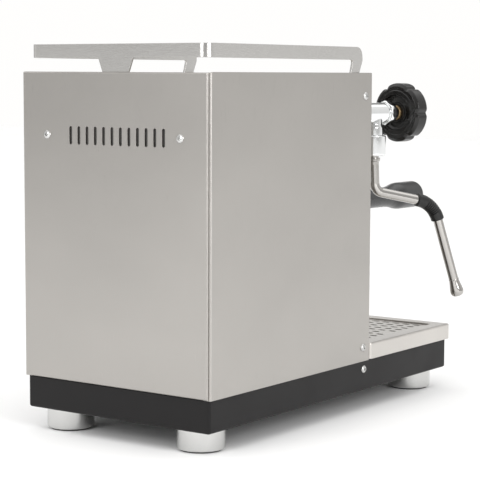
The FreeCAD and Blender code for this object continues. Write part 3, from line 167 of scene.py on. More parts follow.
def noise(tree, where, stretch, detail=4.0, roughness=0.55):
    """Noise with its own number of grains per metre along x, y and z."""
    placed = add_node(tree, "ShaderNodeMapping", {"Vector": where, "Scale": stretch})
    return add_node(tree, "ShaderNodeTexNoise", {
        "Vector": placed.outputs["Vector"], "Scale": 1.0, "Detail": detail,
        "Roughness": roughness}).outputs["Fac"]


def between(tree, factor, low, high, spread=(0.3, 0.7)):
    """Spreads a noise between two numbers."""
    return add_node(tree, "ShaderNodeMapRange", {
        "Value": factor, "From Min": spread[0], "From Max": spread[1], "To Min": low,
        "To Max": high}).outputs["Result"]


def shades(tree, factor, colour, change):
    """A colour that gets darker and lighter by a share as the noise goes from low to high."""
    dark = [c * (1 - change) for c in colour[:3]] + [1]
    light = [min(1, c * (1 + change)) for c in colour[:3]] + [1]
    part = between(tree, factor, 0.0, 1.0)
    mixed = add_node(tree, "ShaderNodeMix", {0: part, 6: dark, 7: light}, data_type="RGBA")
    return mixed.outputs[2]


def bump(tree, shader, height, strength, distance):
    """Relief: a height in shares of a distance tilts the finish."""
    made = add_node(tree, "ShaderNodeBump", {
        "Height": height, "Strength": strength, "Distance": distance})
    tree.links.new(made.outputs["Normal"], shader.inputs["Normal"])


def brushed(name, colour, rough, grain, depth=0.12, change=0.05, cloud=(7, 7, 7)):
    """Brushed metal: fine streaks change its roughness and relief, broad clouds its shade."""
    made, tree, shader, where = new_finish(name)
    streaks = noise(tree, where, grain, 5.0, 0.6)
    broad = noise(tree, where, cloud, 2.0)
    tree.links.new(shades(tree, broad, colour, change), shader.inputs["Base Color"])
    tree.links.new(between(tree, streaks, rough - 0.05, rough + 0.05),
                   shader.inputs["Roughness"])
    shader.inputs["Metallic"].default_value = 1.0
    bump(tree, shader, streaks, depth, 0.00004)
    return made


def polished(name, colour, rough=0.06, smudge=0.05, scale=60):
    """Polished metal: faint smudges make parts of it a little duller."""
    made, tree, shader, where = new_finish(name)
    marks = noise(tree, where, (scale, scale, scale), 5.0, 0.6)
    tree.links.new(shades(tree, marks, colour, 0.02), shader.inputs["Base Color"])
    tree.links.new(between(tree, marks, rough, rough + smudge), shader.inputs["Roughness"])
    shader.inputs["Metallic"].default_value = 1.0
    return made


def moulded(name, colour, rough=0.45, grain=900, depth=0.15, change=0.12, coat=0.0,
            gloss=0.5):
    """Moulded or painted finish: fine grain in relief, with uneven gloss."""
    made, tree, shader, where = new_finish(name)
    fine = noise(tree, where, (grain, grain, grain), 3.0)
    broad = noise(tree, where, (25, 25, 25), 3.0)
    tree.links.new(shades(tree, broad, colour, change), shader.inputs["Base Color"])
    tree.links.new(between(tree, broad, rough - 0.06, rough + 0.06),
                   shader.inputs["Roughness"])
    shader.inputs["Specular IOR Level"].default_value = gloss
    shader.inputs["Coat Weight"].default_value = coat
    shader.inputs["Coat Roughness"].default_value = 0.12
    bump(tree, shader, fine, depth, 0.0001)
    return made


def clear(name, colour, rough, weight):
    """Glass or clear plastic, with faint wiping marks in its gloss."""
    made, tree, shader, where = new_finish(name)
    marks = noise(tree, where, (80, 80, 20), 4.0)
    shader.inputs["Base Color"].default_value = (*colour, 1)
    tree.links.new(between(tree, marks, rough, rough + 0.06), shader.inputs["Roughness"])
    shader.inputs["Transmission Weight"].default_value = weight
    shader.inputs["IOR"].default_value = 1.46
    return made


# Each finish: its kind, its colour, its roughness and what else its kind takes, in order.
# A colour is three numbers, or one of the panel's colours with a share of it; the cover steel's
# shares are painted shade and painted light.
RECIPES = {
    # Rear, front and side covers: the cover steel darkened by a share, painted shade on faces
    # turned from the light.
    "rear_steel": (brushed, ("steel", 0.80), 0.32, (3600, 300, 40), 0.06, 0.04, (5, 5, 9)),
    "side_steel": (brushed, ("steel", 0.86), 0.32, (300, 3600, 40), 0.06, 0.04, (5, 5, 9)),
    # Warming plate, tray and grid: the cover steel lightened by a share, painted light.
    "level_steel": (brushed, ("steel", 1.2), 0.30, (18, 3600, 3600), 0.10),
    "rail_steel": (brushed, (0.54, 0.53, 0.515), 0.25, (120, 120, 9000), 0.04, 0.02),
    "screw_steel": (polished, (0.58, 0.58, 0.57), 0.12, 0.08, 500),
    "foot_aluminium": (brushed, (0.60, 0.60, 0.59), 0.15, (30, 30, 5200), 0.3, 0.03),
    "base_paint": (moulded, ("paint", 1.0), 0.42, 1500, 0.2, 0.10, 0.0, 0.2),
    # Basin lining: near black, painted shade for the shadowed inside of the tray's basin.
    "basin_steel": (brushed, (0.03, 0.03, 0.03), 0.5, (18, 900, 900), 0.3, 0.2, (20, 20, 20)),
    "black_rubber": (moulded, (0.018, 0.018, 0.018), 0.75, 700, 0.3),
    "black_moulding": (moulded, (0.022, 0.022, 0.023), 0.5, 1200, 0.2),
    "gloss_black": (moulded, (0.012, 0.012, 0.013), 0.2, 300, 0.02, 0.1, 0.6),
    "knob_black": (moulded, ("knob", 1.0), 0.24, 420, 0.10, 0.25, 0.1, 0.4),
    "grip_black": (moulded, (0.014, 0.014, 0.0145), 0.30, 900, 0.1, 0.15, 0.1, 0.45),
    "sleeve_rubber": (moulded, (0.010, 0.010, 0.010), 0.38, 900, 0.1, 0.1, 0.0, 0.4),
    "chrome": (polished, ("chrome", 1.0), 0.05, 0.04),
    "pipe_steel": (polished, (0.47, 0.455, 0.435), 0.10, 0.06, 90),
    "inner_steel": (brushed, (0.42, 0.42, 0.42), 0.45, (30, 30, 500), 0.2, 0.12, (30, 30, 30)),
    "vent_dark": (moulded, (0.05, 0.048, 0.045), 0.5, 600, 0.1),
    "tank_plastic": (clear, (0.86, 0.89, 0.91), 0.28, 0.75),
    # Tank lid: the cover steel lightened by a share, painted light on its upturned face.
    "lid_steel": (brushed, ("steel", 1.05), 0.30, (14, 900, 900)),
    "pump_enamel": (moulded, (0.07, 0.07, 0.075), 0.4, 500, 0.2, 0.2),
    "boiler_brass": (brushed, (0.62, 0.44, 0.20), 0.36, (60, 60, 900), 0.3, 0.15, (60, 60, 60)),
    "turned_brass": (brushed, (0.55, 0.38, 0.20), 0.28, (900, 900, 900), 0.1, 0.08, (60, 60, 60)),
    "copper": (brushed, (0.72, 0.36, 0.22), 0.3, (80, 80, 80), 0.2, 0.15, (40, 40, 40)),
    "seat_polymer": (moulded, (0.8, 0.8, 0.78), 0.4, 500, 0.05, 0.03),
    "dial_white": (moulded, (0.82, 0.82, 0.80), 0.5, 400, 0.02, 0.02),
    "dial_ink": (moulded, (0.012, 0.012, 0.012), 0.5, 400, 0.02, 0.02),
    "needle_paint": (moulded, (0.02, 0.02, 0.02), 0.4, 400, 0.02, 0.05),
    "clear_glass": (clear, (0.97, 0.98, 0.98), 0.02, 1.0),
    "screen_glass": (moulded, (0.010, 0.013, 0.016), 0.08, 300, 0.0, 0.1, 1.0),
    "silicone": (clear, (0.82, 0.83, 0.83), 0.35, 0.4),
}
FINISHES = {}


def finish(name):
    """A finish by name, made when it is first asked for."""
    if name not in FINISHES:
        kind, colour, *rest = RECIPES[name]
        if len(colour) == 2:
            colour = [c * colour[1] for c in getattr(colours(), colour[0])]
        FINISHES[name] = kind(name, colour, *rest)
    return FINISHES[name]


# ---- surfaces ----------------------------------------------------------------------------

def rounded(corners, radii, steps=6, closed=False):
    """A line through corners, each replaced by an arc that touches both of its runs.  An
    arc's points are the middle plus a turn of the first spoke towards the last one."""
    corners = np.array(corners, float)
    count = len(corners)
    radii = np.broadcast_to(np.asarray(radii, float), count)
    made = []
    for index in range(count):
        corner = corners[index]
        radius = radii[index]
        if radius <= 0 or (not closed and index in (0, count - 1)):
            made.append(corner[None])
            continue
        back = corners[index - 1] - corner
        ahead = corners[(index + 1) % count] - corner
        back /= np.linalg.norm(back)
        ahead /= np.linalg.norm(ahead)
        half = math.acos(max(-1, min(1, float(back @ ahead)))) / 2
        inward = (back + ahead) / np.linalg.norm(back + ahead)
        middle = corner + inward * radius / math.sin(half)
        first = corner + back * radius / math.tan(half) - middle
        last = corner + ahead * radius / math.tan(half) - middle
        sweep = math.pi - 2 * half
        part = np.linspace(0, 1, steps + 1)[:, None]
        made.append(middle + (np.sin((1 - part) * sweep) * first
                              + np.sin(part * sweep) * last) / math.sin(sweep))
    return np.concatenate(made)


def quads(rows, columns, loop_rows=False, loop_columns=False):
    """Faces of a grid of points kept row after row; a loop joins its last back to its first."""
    across = np.arange(columns if loop_columns else columns - 1)
    along = np.arange(rows if loop_rows else rows - 1)
    i, j = np.meshgrid(along, across, indexing="ij")
    k, m = (i + 1) % rows, (j + 1) % columns
    return np.stack([i * columns + j, i * columns + m, k * columns + m, k * columns + j],
                    -1).reshape(-1, 4).tolist()


def ends(columns, count):
    """The two faces that close a tube of rings: its first ring, turned over, and its last."""
    return [list(range(columns))[::-1], list(range(count - columns, count))]


def axes(direction):
    """Three square directions as rows: two across, and the given one."""
    ahead = np.array(direction, float)
    ahead /= np.linalg.norm(ahead)
    helper = np.array([0.0, 0.0, 1.0]) if abs(ahead[2]) < 0.9 else np.array([1.0, 0.0, 0.0])
    across = np.cross(helper, ahead)
    across /= np.linalg.norm(across)
    return np.stack([across, np.cross(ahead, across), ahead])


def hexagon(angle, half):
    """A hexagon's reach: half its width over the cosine of the angle from a side's middle."""
    return half / np.cos((angle + math.pi / 6) % (math.pi / 3) - math.pi / 6)


def revolve(profile, origin=(0, 0, 0), direction=(0, 0, 1), segments=64, radius=None,
            spin=0.0):
    """A profile of (radius, height) turned about an axis: each point is the origin plus the
    radius times the turned spoke plus the height along the axis.  radius(angles, profile)
    may give a radius of its own for each angle."""
    profile = np.array(profile, float)
    angle = np.arange(segments) / segments * 2 * math.pi
    reach = np.repeat(profile[:, :1], segments, 1) if radius is None else radius(angle, profile)
    across, side, ahead = axes(direction)
    turn = angle + spin
    spoke = np.cos(turn)[:, None] * across + np.sin(turn)[:, None] * side
    points = (np.array(origin, float) + reach[..., None] * spoke[None]
              + profile[:, 1][:, None, None] * ahead)
    faces = quads(len(profile), segments, loop_columns=True)
    first, last = ends(segments, len(profile) * segments)
    if profile[0, 0] > 1e-6:
        faces.append(first)
    if profile[-1, 0] > 1e-6:
        faces.append(last)
    return points.reshape(-1, 3), faces


def ring_turned(profile, **kwargs):
    """A closed profile that never touches the axis, turned into a ring."""
    points, faces = revolve(profile, **kwargs)
    segments = kwargs.get("segments", 64)
    return points, quads(len(profile), segments, loop_rows=True, loop_columns=True)


def stack(rows, steps=5, capped=True):
    """Rounded rectangles one above another.  A row is (low x, high x, low y, high y, corner
    radius, z): each quarter is an arc about the corner's middle, and the runs join them."""
    rows = np.array(rows, float)
    quarter = np.linspace(0, math.pi / 2, steps + 1)
    angle = np.concatenate([quarter + k * math.pi / 2 for k in range(4)])
    right = np.repeat([1, 0, 0, 1], steps + 1)
    far = np.repeat([1, 1, 0, 0], steps + 1)
    low_x, high_x, low_y, high_y, radius, z = (rows[:, k:k + 1] for k in range(6))
    x = np.where(right, high_x - radius, low_x + radius) + radius * np.cos(angle)
    y = np.where(far, high_y - radius, low_y + radius) + radius * np.sin(angle)
    points = np.stack([x, y, np.broadcast_to(z, x.shape)], -1)
    columns = len(angle)
    faces = quads(len(rows), columns, loop_columns=True, loop_rows=not capped)
    if capped:
        faces += ends(columns, len(rows) * columns)
    return points.reshape(-1, 3), faces


def inset_rows(box, corner, profile):
    """Rows for stack: the box's outline drawn in by each profile point's inset, at its z."""
    low_x, high_x, low_y, high_y = box
    return [(low_x + d, high_x - d, low_y + d, high_y - d, max(corner - d, 0.01), z)
            for d, z in profile]


def facing_front(part, y=0.0):
    """Lays a stack on its back: its z becomes the reach in front of a plane at y."""
    points, faces = part
    return np.stack([points[:, 0], y - points[:, 2], points[:, 1]], -1), faces


def thicken(points, faces, low, high):
    """A flat layout of faces made solid: one copy at each height, and a wall along every
    edge that has a face on one side only."""
    points = np.array(points, float)
    faces = np.array(faces)
    count = len(points)
    low = np.broadcast_to(np.asarray(low, float), count)
    high = np.broadcast_to(np.asarray(high, float), count)
    edges = np.concatenate([np.stack([faces[:, k], faces[:, (k + 1) % 4]], -1)
                            for k in range(4)])
    key = np.sort(edges, 1)
    _, where, seen = np.unique(key, axis=0, return_inverse=True, return_counts=True)
    rim = edges[(seen[where.ravel()] == 1) & (edges[:, 0] != edges[:, 1])]
    walls = np.stack([rim[:, 0], rim[:, 0] + count, rim[:, 1] + count, rim[:, 1]], -1)
    solid = np.concatenate([np.column_stack([points, high]), np.column_stack([points, low])])
    return solid, np.concatenate([faces, faces[:, ::-1] + count, walls]).tolist()


def merged_layout(cells):
    """Joins layouts whose points meet, by rounding their places to a hundredth.  A small
    shift keeps the layouts' own round numbers away from where the rounding would split."""
    points = np.concatenate([cell[0] for cell in cells])
    offset = np.cumsum([0] + [len(cell[0]) for cell in cells[:-1]])
    faces = np.concatenate([np.array(cell[1]) + shift for cell, shift in zip(cells, offset)])
    _, first, same = np.unique(np.round(points + 0.0013, 2), axis=0, return_index=True,
                               return_inverse=True)
    return points[first], same.ravel()[faces]


# Where a quarter of a slot's outline has its points, in shares of a half turn.
QUARTER = np.array([0, 0.125, 0.25, 0.375, 0.5])


def slot_cells(middles, half_cell, half_slot):
    """Oblong slots, each in a cell of its own.  A quarter of a slot's outline is an arc of
    its half width, then a straight run; it is joined to the same quarter of the cell."""
    cell_x, cell_y = half_cell
    slot_x, slot_y = half_slot
    upright = slot_y > slot_x
    if upright:
        cell_x, cell_y, slot_x, slot_y = cell_y, cell_x, slot_y, slot_x
    turn = QUARTER * math.pi
    inner = np.concatenate([np.stack([slot_x - slot_y + slot_y * np.cos(turn),
                                      slot_y * np.sin(turn)], -1), [[0, slot_y]]])
    outer = np.concatenate([np.stack([np.full(5, cell_x), cell_y * QUARTER * 2], -1),
                            [[0, cell_y]]])

    def whole(part):
        flipped = part[:-1][::-1] * [-1, 1]
        half = np.concatenate([part, flipped])
        return np.concatenate([half, -half[1:-1]])

    pair = np.stack([whole(inner), whole(outer)])
    if upright:
        pair = pair[:, ::-1, ::-1]
    columns = pair.shape[1]
    middles = np.array(middles, float)
    points = (middles[:, None, None] + pair[None]).reshape(-1, 2)
    one = np.array(quads(2, columns, loop_columns=True))
    faces = (one[None] + np.arange(len(middles))[:, None, None] * 2 * columns).reshape(-1, 4)
    return points, faces


def block_cells(x, y):
    """A layout of plain cells between sorted breaks along x and y."""
    grid_x, grid_y = np.meshgrid(x, y)
    return (np.stack([grid_x, grid_y], -1).reshape(-1, 2),
            np.array(quads(len(y), len(x))))


def breaks(middles, half, fine):
    """Where a row of slot cells has points along its side."""
    part = QUARTER * 2 if fine else np.array([0, 1.0])
    step = np.concatenate([-part[::-1], part]) * half
    return np.unique(np.round((np.array(middles)[:, None] + step[None]).ravel(), 5))


def pierced_sheet(outline, fields, cell, slot, edge_steps=()):
    """A sheet with one field of slots, and plain cells from the field to the sheet's edge.
    outline is (low x, high x, low y, high y), fields the slots' x and y, edge_steps the
    distances from the outline at which the sheet has extra rows for its folded edge."""
    xs, ys = fields
    upright = slot[1] > slot[0]
    middles = np.stack(np.meshgrid(xs, ys), -1).reshape(-1, 2)
    along_x = breaks(xs, cell[0], upright)
    along_y = breaks(ys, cell[1], not upright)
    steps = np.array([0.0, *edge_steps])
    low_x = outline[0] + steps
    high_x = (outline[1] - steps)[::-1]
    low_y = outline[2] + steps
    high_y = (outline[3] - steps)[::-1]
    left = np.append(low_x, along_x[0])
    right = np.append(along_x[-1], high_x)
    below = np.append(low_y, along_y[0])
    above = np.append(along_y[-1], high_y)
    cells = [slot_cells(middles, cell, slot)]
    for x, y in ((left, along_y), (right, along_y), (along_x, below), (along_x, above),
                 (left, below), (left, above), (right, below), (right, above)):
        cells.append(block_cells(x, y))
    return merged_layout(cells)


def edge_distance(points, outline):
    """How far each point is from the outline's nearest side."""
    x, y = points[:, 0], points[:, 1]
    return np.minimum.reduce([x - outline[0], outline[1] - x, y - outline[2],
                              outline[3] - y])


def rolled(distance, radius):
    """How far a folded edge falls back: the radius less the height of its quarter circle."""
    inside = np.clip(radius - distance, 0, radius)
    return radius - np.sqrt(np.maximum(radius ** 2 - inside ** 2, 0))


def tube(path, radius, segments=32):
    """A round tube along a path: each ring is the path's point plus the radius times a spoke
    in the plane square to the path, with the spokes carried on from ring to ring."""
    path = np.array(path, float)
    radius = np.broadcast_to(np.asarray(radius, float), len(path))
    heading = np.gradient(path, axis=0)
    heading /= np.linalg.norm(heading, axis=1)[:, None]
    normal = np.cross(heading[0], path[-1] - path[0])
    if np.linalg.norm(normal) < 1e-6:
        normal = axes(heading[0])[0]
    normal /= np.linalg.norm(normal)
    across = np.cross(normal, heading)
    across /= np.linalg.norm(across, axis=1)[:, None]
    angle = np.arange(segments) / segments * 2 * math.pi
    spoke = (np.cos(angle)[None, :, None] * across[:, None]
             + np.sin(angle)[None, :, None] * normal)
    points = (path[:, None] + radius[:, None, None] * spoke).reshape(-1, 3)
    faces = quads(len(path), segments, loop_columns=True)
    return points, faces + ends(segments, len(points))


def carried(section, angles, middle):
    """A closed section of (reach, z) carried round the z axis through a run of angles."""
    section = np.array(section, float)
    angles = np.radians(angles)
    spoke = np.stack([np.cos(angles), np.sin(angles)], -1)
    flat = section[None, :, :1] * spoke[:, None] + np.array(middle)[None, None]
    z = np.broadcast_to(section[:, 1], flat.shape[:2])
    points = np.concatenate([flat, z[..., None]], -1)
    columns = len(section)
    faces = quads(len(angles), columns, loop_columns=True)
    return points.reshape(-1, 3), faces + ends(columns, len(angles) * columns)


def spaced(path, step):
    """The same path with points at equal distances along it."""
    path = np.array(path, float)
    length = np.concatenate([[0], np.cumsum(np.linalg.norm(np.diff(path, axis=0), axis=1))])
    at = np.linspace(0, length[-1], max(2, int(length[-1] / step) + 1))
    return np.stack([np.interp(at, length, path[:, k]) for k in range(3)], -1), at


# ---- pieces ------------------------------------------------------------------------------

def placed(name, data):
    """An object of that name, in the scene."""
    made = bpy.data.objects.new(name, data)
    bpy.context.scene.collection.objects.link(made)
    return made


def finish_piece(piece, material, body, replaces, edge, segments, sharp):
    """Gives a piece its finish, edges and body, and hides the CAD nodes it replaces."""
    if piece.data.materials:
        piece.data.materials[0] = finish(material)
    else:
        piece.data.materials.append(finish(material))
    piece.data.shade_smooth()
    if edge > 0:
        modifier = piece.modifiers.new("broken_edge", "BEVEL")
        modifier.width = edge
        modifier.segments = segments
        modifier.limit_method = "ANGLE"
        modifier.angle_limit = math.radians(35)
        modifier.use_clamp_overlap = True
        modifier.harden_normals = False
        modifier.miter_outer = "MITER_ARC"
    else:
        piece.data.set_sharp_from_angle(angle=math.radians(sharp))
    modifier = piece.modifiers.new("flat_faces", "WEIGHTED_NORMAL")
    modifier.keep_sharp = True
    modifier.weight = 70
    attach(piece, body)
    if replaces:
        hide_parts(*replaces)
    return piece


def make_piece(name, parts, material, body="chassis", replaces=(), edge=0.0,
               segments=2, sharp=40):
    """A piece from one or more closed surfaces, given in millimetres."""
    points = np.concatenate([np.asarray(part[0]) for part in parts]) * MM
    faces = []
    start = 0
    for part in parts:
        faces.extend([index + start for index in face] for face in part[1])
        start += len(part[0])
    mesh = bpy.data.meshes.new(name)
    mesh.from_pydata(points.tolist(), [], faces)
    work = bmesh.new()
    work.from_mesh(mesh)
    bmesh.ops.remove_doubles(work, verts=work.verts, dist=2e-6)
    bmesh.ops.dissolve_degenerate(work, edges=work.edges, dist=1e-6)
    bmesh.ops.recalc_face_normals(work, faces=work.faces)
    work.to_mesh(mesh)
    work.free()
    mesh.update()
    return finish_piece(placed(name, mesh), material, body, replaces, edge, segments, sharp)


def bevelled_copy(name, node, material, body, edge=0.0004, segments=2):
    """A copy of a CAD node with its triangles joined and its edges broken."""
    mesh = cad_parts[node].data.copy()
    mesh.name = name
    work = bmesh.new()
    work.from_mesh(mesh)
    bmesh.ops.remove_doubles(work, verts=work.verts, dist=2e-6)
    bmesh.ops.dissolve_limit(work, angle_limit=math.radians(0.5), verts=work.verts,
                             edges=work.edges)
    work.to_mesh(mesh)
    work.free()
    mesh.materials.clear()
    return finish_piece(placed(name, mesh), material, body, (node,), edge, segments, 40)


def paint_node(node, material):
    """Gives a CAD node that stays a finish of its own."""
    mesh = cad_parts[node].data
    if not mesh.materials:
        mesh.materials.append(None)
    for index in range(len(mesh.materials)):
        mesh.materials[index] = finish(material)


class StageSetter(bpy.types.Operator):
    """Set the pale floor, the soft light and the camera"""
    bl_idname = "espresso.stage"
    bl_label = "Stage"

    def execute(self, context):
        scene = context.scene
        scene.view_settings.view_transform = "Standard"
        lines = np.linspace(-6000, 6000, 9)
        flat, faces = block_cells(lines, lines)
        mesh = bpy.data.meshes.new("studio_floor")
        points = np.column_stack([flat, np.zeros(len(flat))]) * MM
        mesh.from_pydata(points.tolist(), [], faces.tolist())
        floor = placed("studio_floor", mesh)
        made, tree, shader, where = new_finish("studio_floor")
        soft = noise(tree, where, (2, 2, 2), 2.0)
        tree.links.new(shades(tree, soft, colours().floor, 0.01),
                       shader.inputs["Base Color"])
        shader.inputs["Roughness"].default_value = 0.9
        mesh.materials.append(made)
        self.light(scene)
        self.camera(scene)
        return {"FINISHED"}

    def light(self, scene):
        """A white room, told apart by how far a direction points along the view.  Behind the
        viewer it is dim and ahead of the machine bright, with a dark screen in between; the
        viewer's own rays always meet white.  Two soft boxes and a broad overhead light add
        to it."""
        world = scene.world or bpy.data.worlds.new("studio")
        scene.world = world
        world.use_nodes = True
        tree = world.node_tree
        tree.nodes.clear()
        toward = add_node(tree, "ShaderNodeTexCoord").outputs["Generated"]
        ahead = add_node(tree, "ShaderNodeVectorMath", {0: toward, 1: (0.584, -0.812, 0)},
                         operation="DOT_PRODUCT").outputs["Value"]
        room = between(tree, ahead, 0.38, 0.92, (-0.95, 0.35))
        screen = between(tree, ahead, 1.0, 0.25, (0.60, 0.80))
        flagged = add_node(tree, "ShaderNodeMath", {0: room, 1: screen}, operation="MULTIPLY")
        sweep = between(tree, ahead, 0.0, 1.0, (0.88, 0.97))
        around = add_node(tree, "ShaderNodeMath", {0: flagged.outputs[0], 1: sweep},
                          operation="MAXIMUM")
        seen = add_node(tree, "ShaderNodeLightPath").outputs["Is Camera Ray"]
        bright = add_node(tree, "ShaderNodeMath", {0: around.outputs[0], 1: seen},
                          operation="MAXIMUM")
        background = add_node(tree, "ShaderNodeBackground", {
            "Color": (1.0, 0.995, 0.985, 1), "Strength": bright.outputs[0]})
        output = add_node(tree, "ShaderNodeOutputWorld")
        tree.links.new(background.outputs["Background"], output.inputs["Surface"])
        aim = np.array([0, 0, 200.0])
        for name, place, size, power in (("right_softbox", (-1790, 625, 750), 1000, 18),
                                         ("left_softbox", (120, 1900, 800), 900, 14)):
            data = bpy.data.lights.new(name, "AREA")
            data.shape = "SQUARE"
            data.size = size * MM
            data.energy = power
            lamp = placed(name, data)
            turn = Matrix(axes(np.array(place) - aim).T.tolist()).to_4x4()
            turn.translation = np.array(place) * MM
            lamp.matrix_world = turn
        data = bpy.data.lights.new("overhead", "SUN")
        data.angle = math.radians(100)
        data.energy = 1.35
        placed("overhead", data).location = (0, 0, 2)

    def camera(self, scene):
        """The viewer stands behind the machine, to one side and a little above its deck."""
        data = bpy.data.cameras.new("camera")
        data.lens = 123.168
        data.sensor_width = 36
        data.clip_start, data.clip_end = 0.05, 50
        place = (-0.89909, 1.33991, 0.321)
        camera = placed("camera", data)
        heading, fall, roll = math.radians(35.74), math.radians(5.755), math.radians(0.20)
        view = np.array([math.sin(heading) * math.cos(fall),
                         -math.cos(heading) * math.cos(fall), -math.sin(fall)])
        right = np.array([-math.cos(heading), -math.sin(heading), 0])
        up = np.cross(right, view)
        right, up = (math.cos(roll) * right + math.sin(roll) * up,
                     -math.sin(roll) * right + math.cos(roll) * up)
        turn = Matrix(np.stack([right, up, -view], 1).tolist()).to_4x4()
        turn.translation = place
        camera.matrix_world = turn
        scene.camera = camera


class BaseMaker(bpy.types.Operator):
    """Make the painted base, its floor plate and its cable gland"""
    bl_idname = "espresso.base"
    bl_label = "Base"

    def execute(self, context):
        edge = sizes().base_edge / MM
        outer = rounded([(12, 20), (0, 20), (0, 49), (90, 49)], [0, edge, 0.8, 0])
        inner = [(90, 47), (2, 47), (2, 21.6), (12, 21.6)]
        profile = np.concatenate([outer, inner])
        shell = stack(inset_rows(BASE_BOX, 3.0, profile), 6, capped=False)
        # The deck is closed above and below, so no wall joins its two middles.
        top = len(outer) - 1
        columns = len(shell[0]) // len(profile)
        faces = [face for face in shell[1]
                 if not (top * columns <= min(face) and max(face) < (top + 2) * columns)]
        for row, turn in ((top, 1), (top + 1, -1)):
            faces.append(list(range(row * columns, (row + 1) * columns))[::turn])
        make_piece("base_shell", [(shell[0], faces)], "base_paint",
                   replaces=("base_frame",), edge=0.0)
        paint_node("base_plate", "base_paint")
        low, high = node_box("cable_gland")
        middle = (low + high) / 2

        def flats(angle, profile):
            """The profile's radius, cut to a hexagon over the nut's lowest 5 mm."""
            reach = np.minimum(profile[:, :1], hexagon(angle, 7.9))
            return np.where((profile[:, 1] < 5)[:, None], reach, profile[:, :1])

        gland = ring_turned([(3.8, 0), (7.4, 0), (9, 0.8), (9, 4.6), (9, 5), (9, 8), (7, 8),
                             (7, 12), (3.8, 12)],
                            origin=(middle[0], middle[1], low[2]), radius=flats,
                            segments=72)
        make_piece("gland_nut", [gland], "black_moulding",
                   replaces=("cable_gland",), edge=0.0002)
        return {"FINISHED"}


class FeetMaker(bpy.types.Operator):
    """Make the four turned feet and their rubber pads"""
    bl_idname = "espresso.feet"
    bl_label = "Feet"

    def execute(self, context):
        metal, pads = [], []
        body = rounded([(0, 1.5), (21.5, 1.5), (21.5, 20), (0, 20)], [0, 1.3, 1.0, 0])
        pad = rounded([(0, 0), (18.5, 0), (18.5, 1.5), (0, 1.5)], [0, 0.5, 0, 0])
        for x in FEET_X:
            for y in FEET_Y:
                metal.append(revolve(body, (x, y, 0), segments=96))
                pads.append(revolve(pad, (x, y, 0), segments=64))
        make_piece("turned_feet", metal, "foot_aluminium",
                   replaces=("feet",))
        make_piece("rubber_pads", pads, "black_rubber",
                   replaces=("foot_pads",))
        return {"FINISHED"}


class SideCoverMaker(bpy.types.Operator):
    """Make the two folded side covers"""
    bl_idname = "espresso.side_covers"
    bl_label = "Side covers"

    def execute(self, context):
        fold = sizes().fold / MM
        front, rear = 4.0, 258.0
        span = rear - front
        lap, wall = 8, 1.2

        def refined(line):
            """Adds rows near both ends of the long run, where the top edge rolls over."""
            start, stop = line[6], line[7]
            near = np.array([0, 0.15, 0.6, 1.2, 2.0])
            part = np.concatenate([near, span - near[::-1]])[:, None] / span
            return np.concatenate([line[:6], start + (stop - start) * part, line[8:]])

        for sign, face, name in ((-1, LEFT, "left"), (1, RIGHT, "right")):
            # Seen from above, the cover is a strip whose two ends fold inwards by the lap.
            outer = rounded([(lap, rear), (0, rear), (0, front), (lap, front)],
                            [0, fold, fold, 0], 5)
            inner = rounded([(lap, rear - wall), (wall, rear - wall), (wall, front + wall),
                             (lap, front + wall)], [0, 0.4, 0.4, 0], 5)
            layout = np.concatenate([refined(outer), refined(inner)])
            layout[:, 0] = face - sign * layout[:, 0]
            faces = quads(2, len(layout) // 2)
            spread = np.minimum(layout[:, 1] - front, rear - layout[:, 1])
            reach = np.abs(layout[:, 0] - face)
            high = ROOF - rolled(spread, 2.0) - np.where(reach > 2.0, 0.3, 0.0)
            solid = thicken(layout, faces, DECK, high)
            make_piece(f"{name}_cover", [solid], "side_steel",
                       replaces=(f"{name}_side_panel",), edge=sizes().edge)
        return {"FINISHED"}


class RearCoverMaker(bpy.types.Operator):
    """Make the rear cover with its upright vent slots"""
    bl_idname = "espresso.rear_cover"
    bl_label = "Rear cover"

    def execute(self, context):
        fold = sizes().fold / MM
        outline = (-88.8, 116.8, 49.5, 322.5)
        pitch, thick = 9.4, 1.9
        slots_x = VENTS_X + (np.arange(12) - 5.5) * pitch
        steps = (0.12, 0.35, 0.7, 1.1, fold)
        layout, faces = pierced_sheet(outline, (slots_x, [VENTS_Z]), (pitch / 2, 12),
                                      (1.6, 8), steps)
        fall = rolled(edge_distance(layout, outline), fold)
        points, solid = thicken(layout, faces, 0.0, thick - fall)
        points = np.stack([points[:, 0], REAR - thick + points[:, 2], points[:, 1]], -1)
        make_piece("rear_cover", [(points, solid)], "rear_steel",
                   replaces=("rear_panel",), edge=0.00015)
        paint_node("vent_plate", "vent_dark")
        return {"FINISHED"}


class FrontCoverMaker(bpy.types.Operator):
    """Make the front cover that carries the group, the valve and the instruments"""
    bl_idname = "espresso.front_cover"
    bl_label = "Front cover"

    def execute(self, context):
        bevelled_copy("front_cover", "front_panel", "rear_steel", "chassis",
                      0.0006, 3)
        return {"FINISHED"}


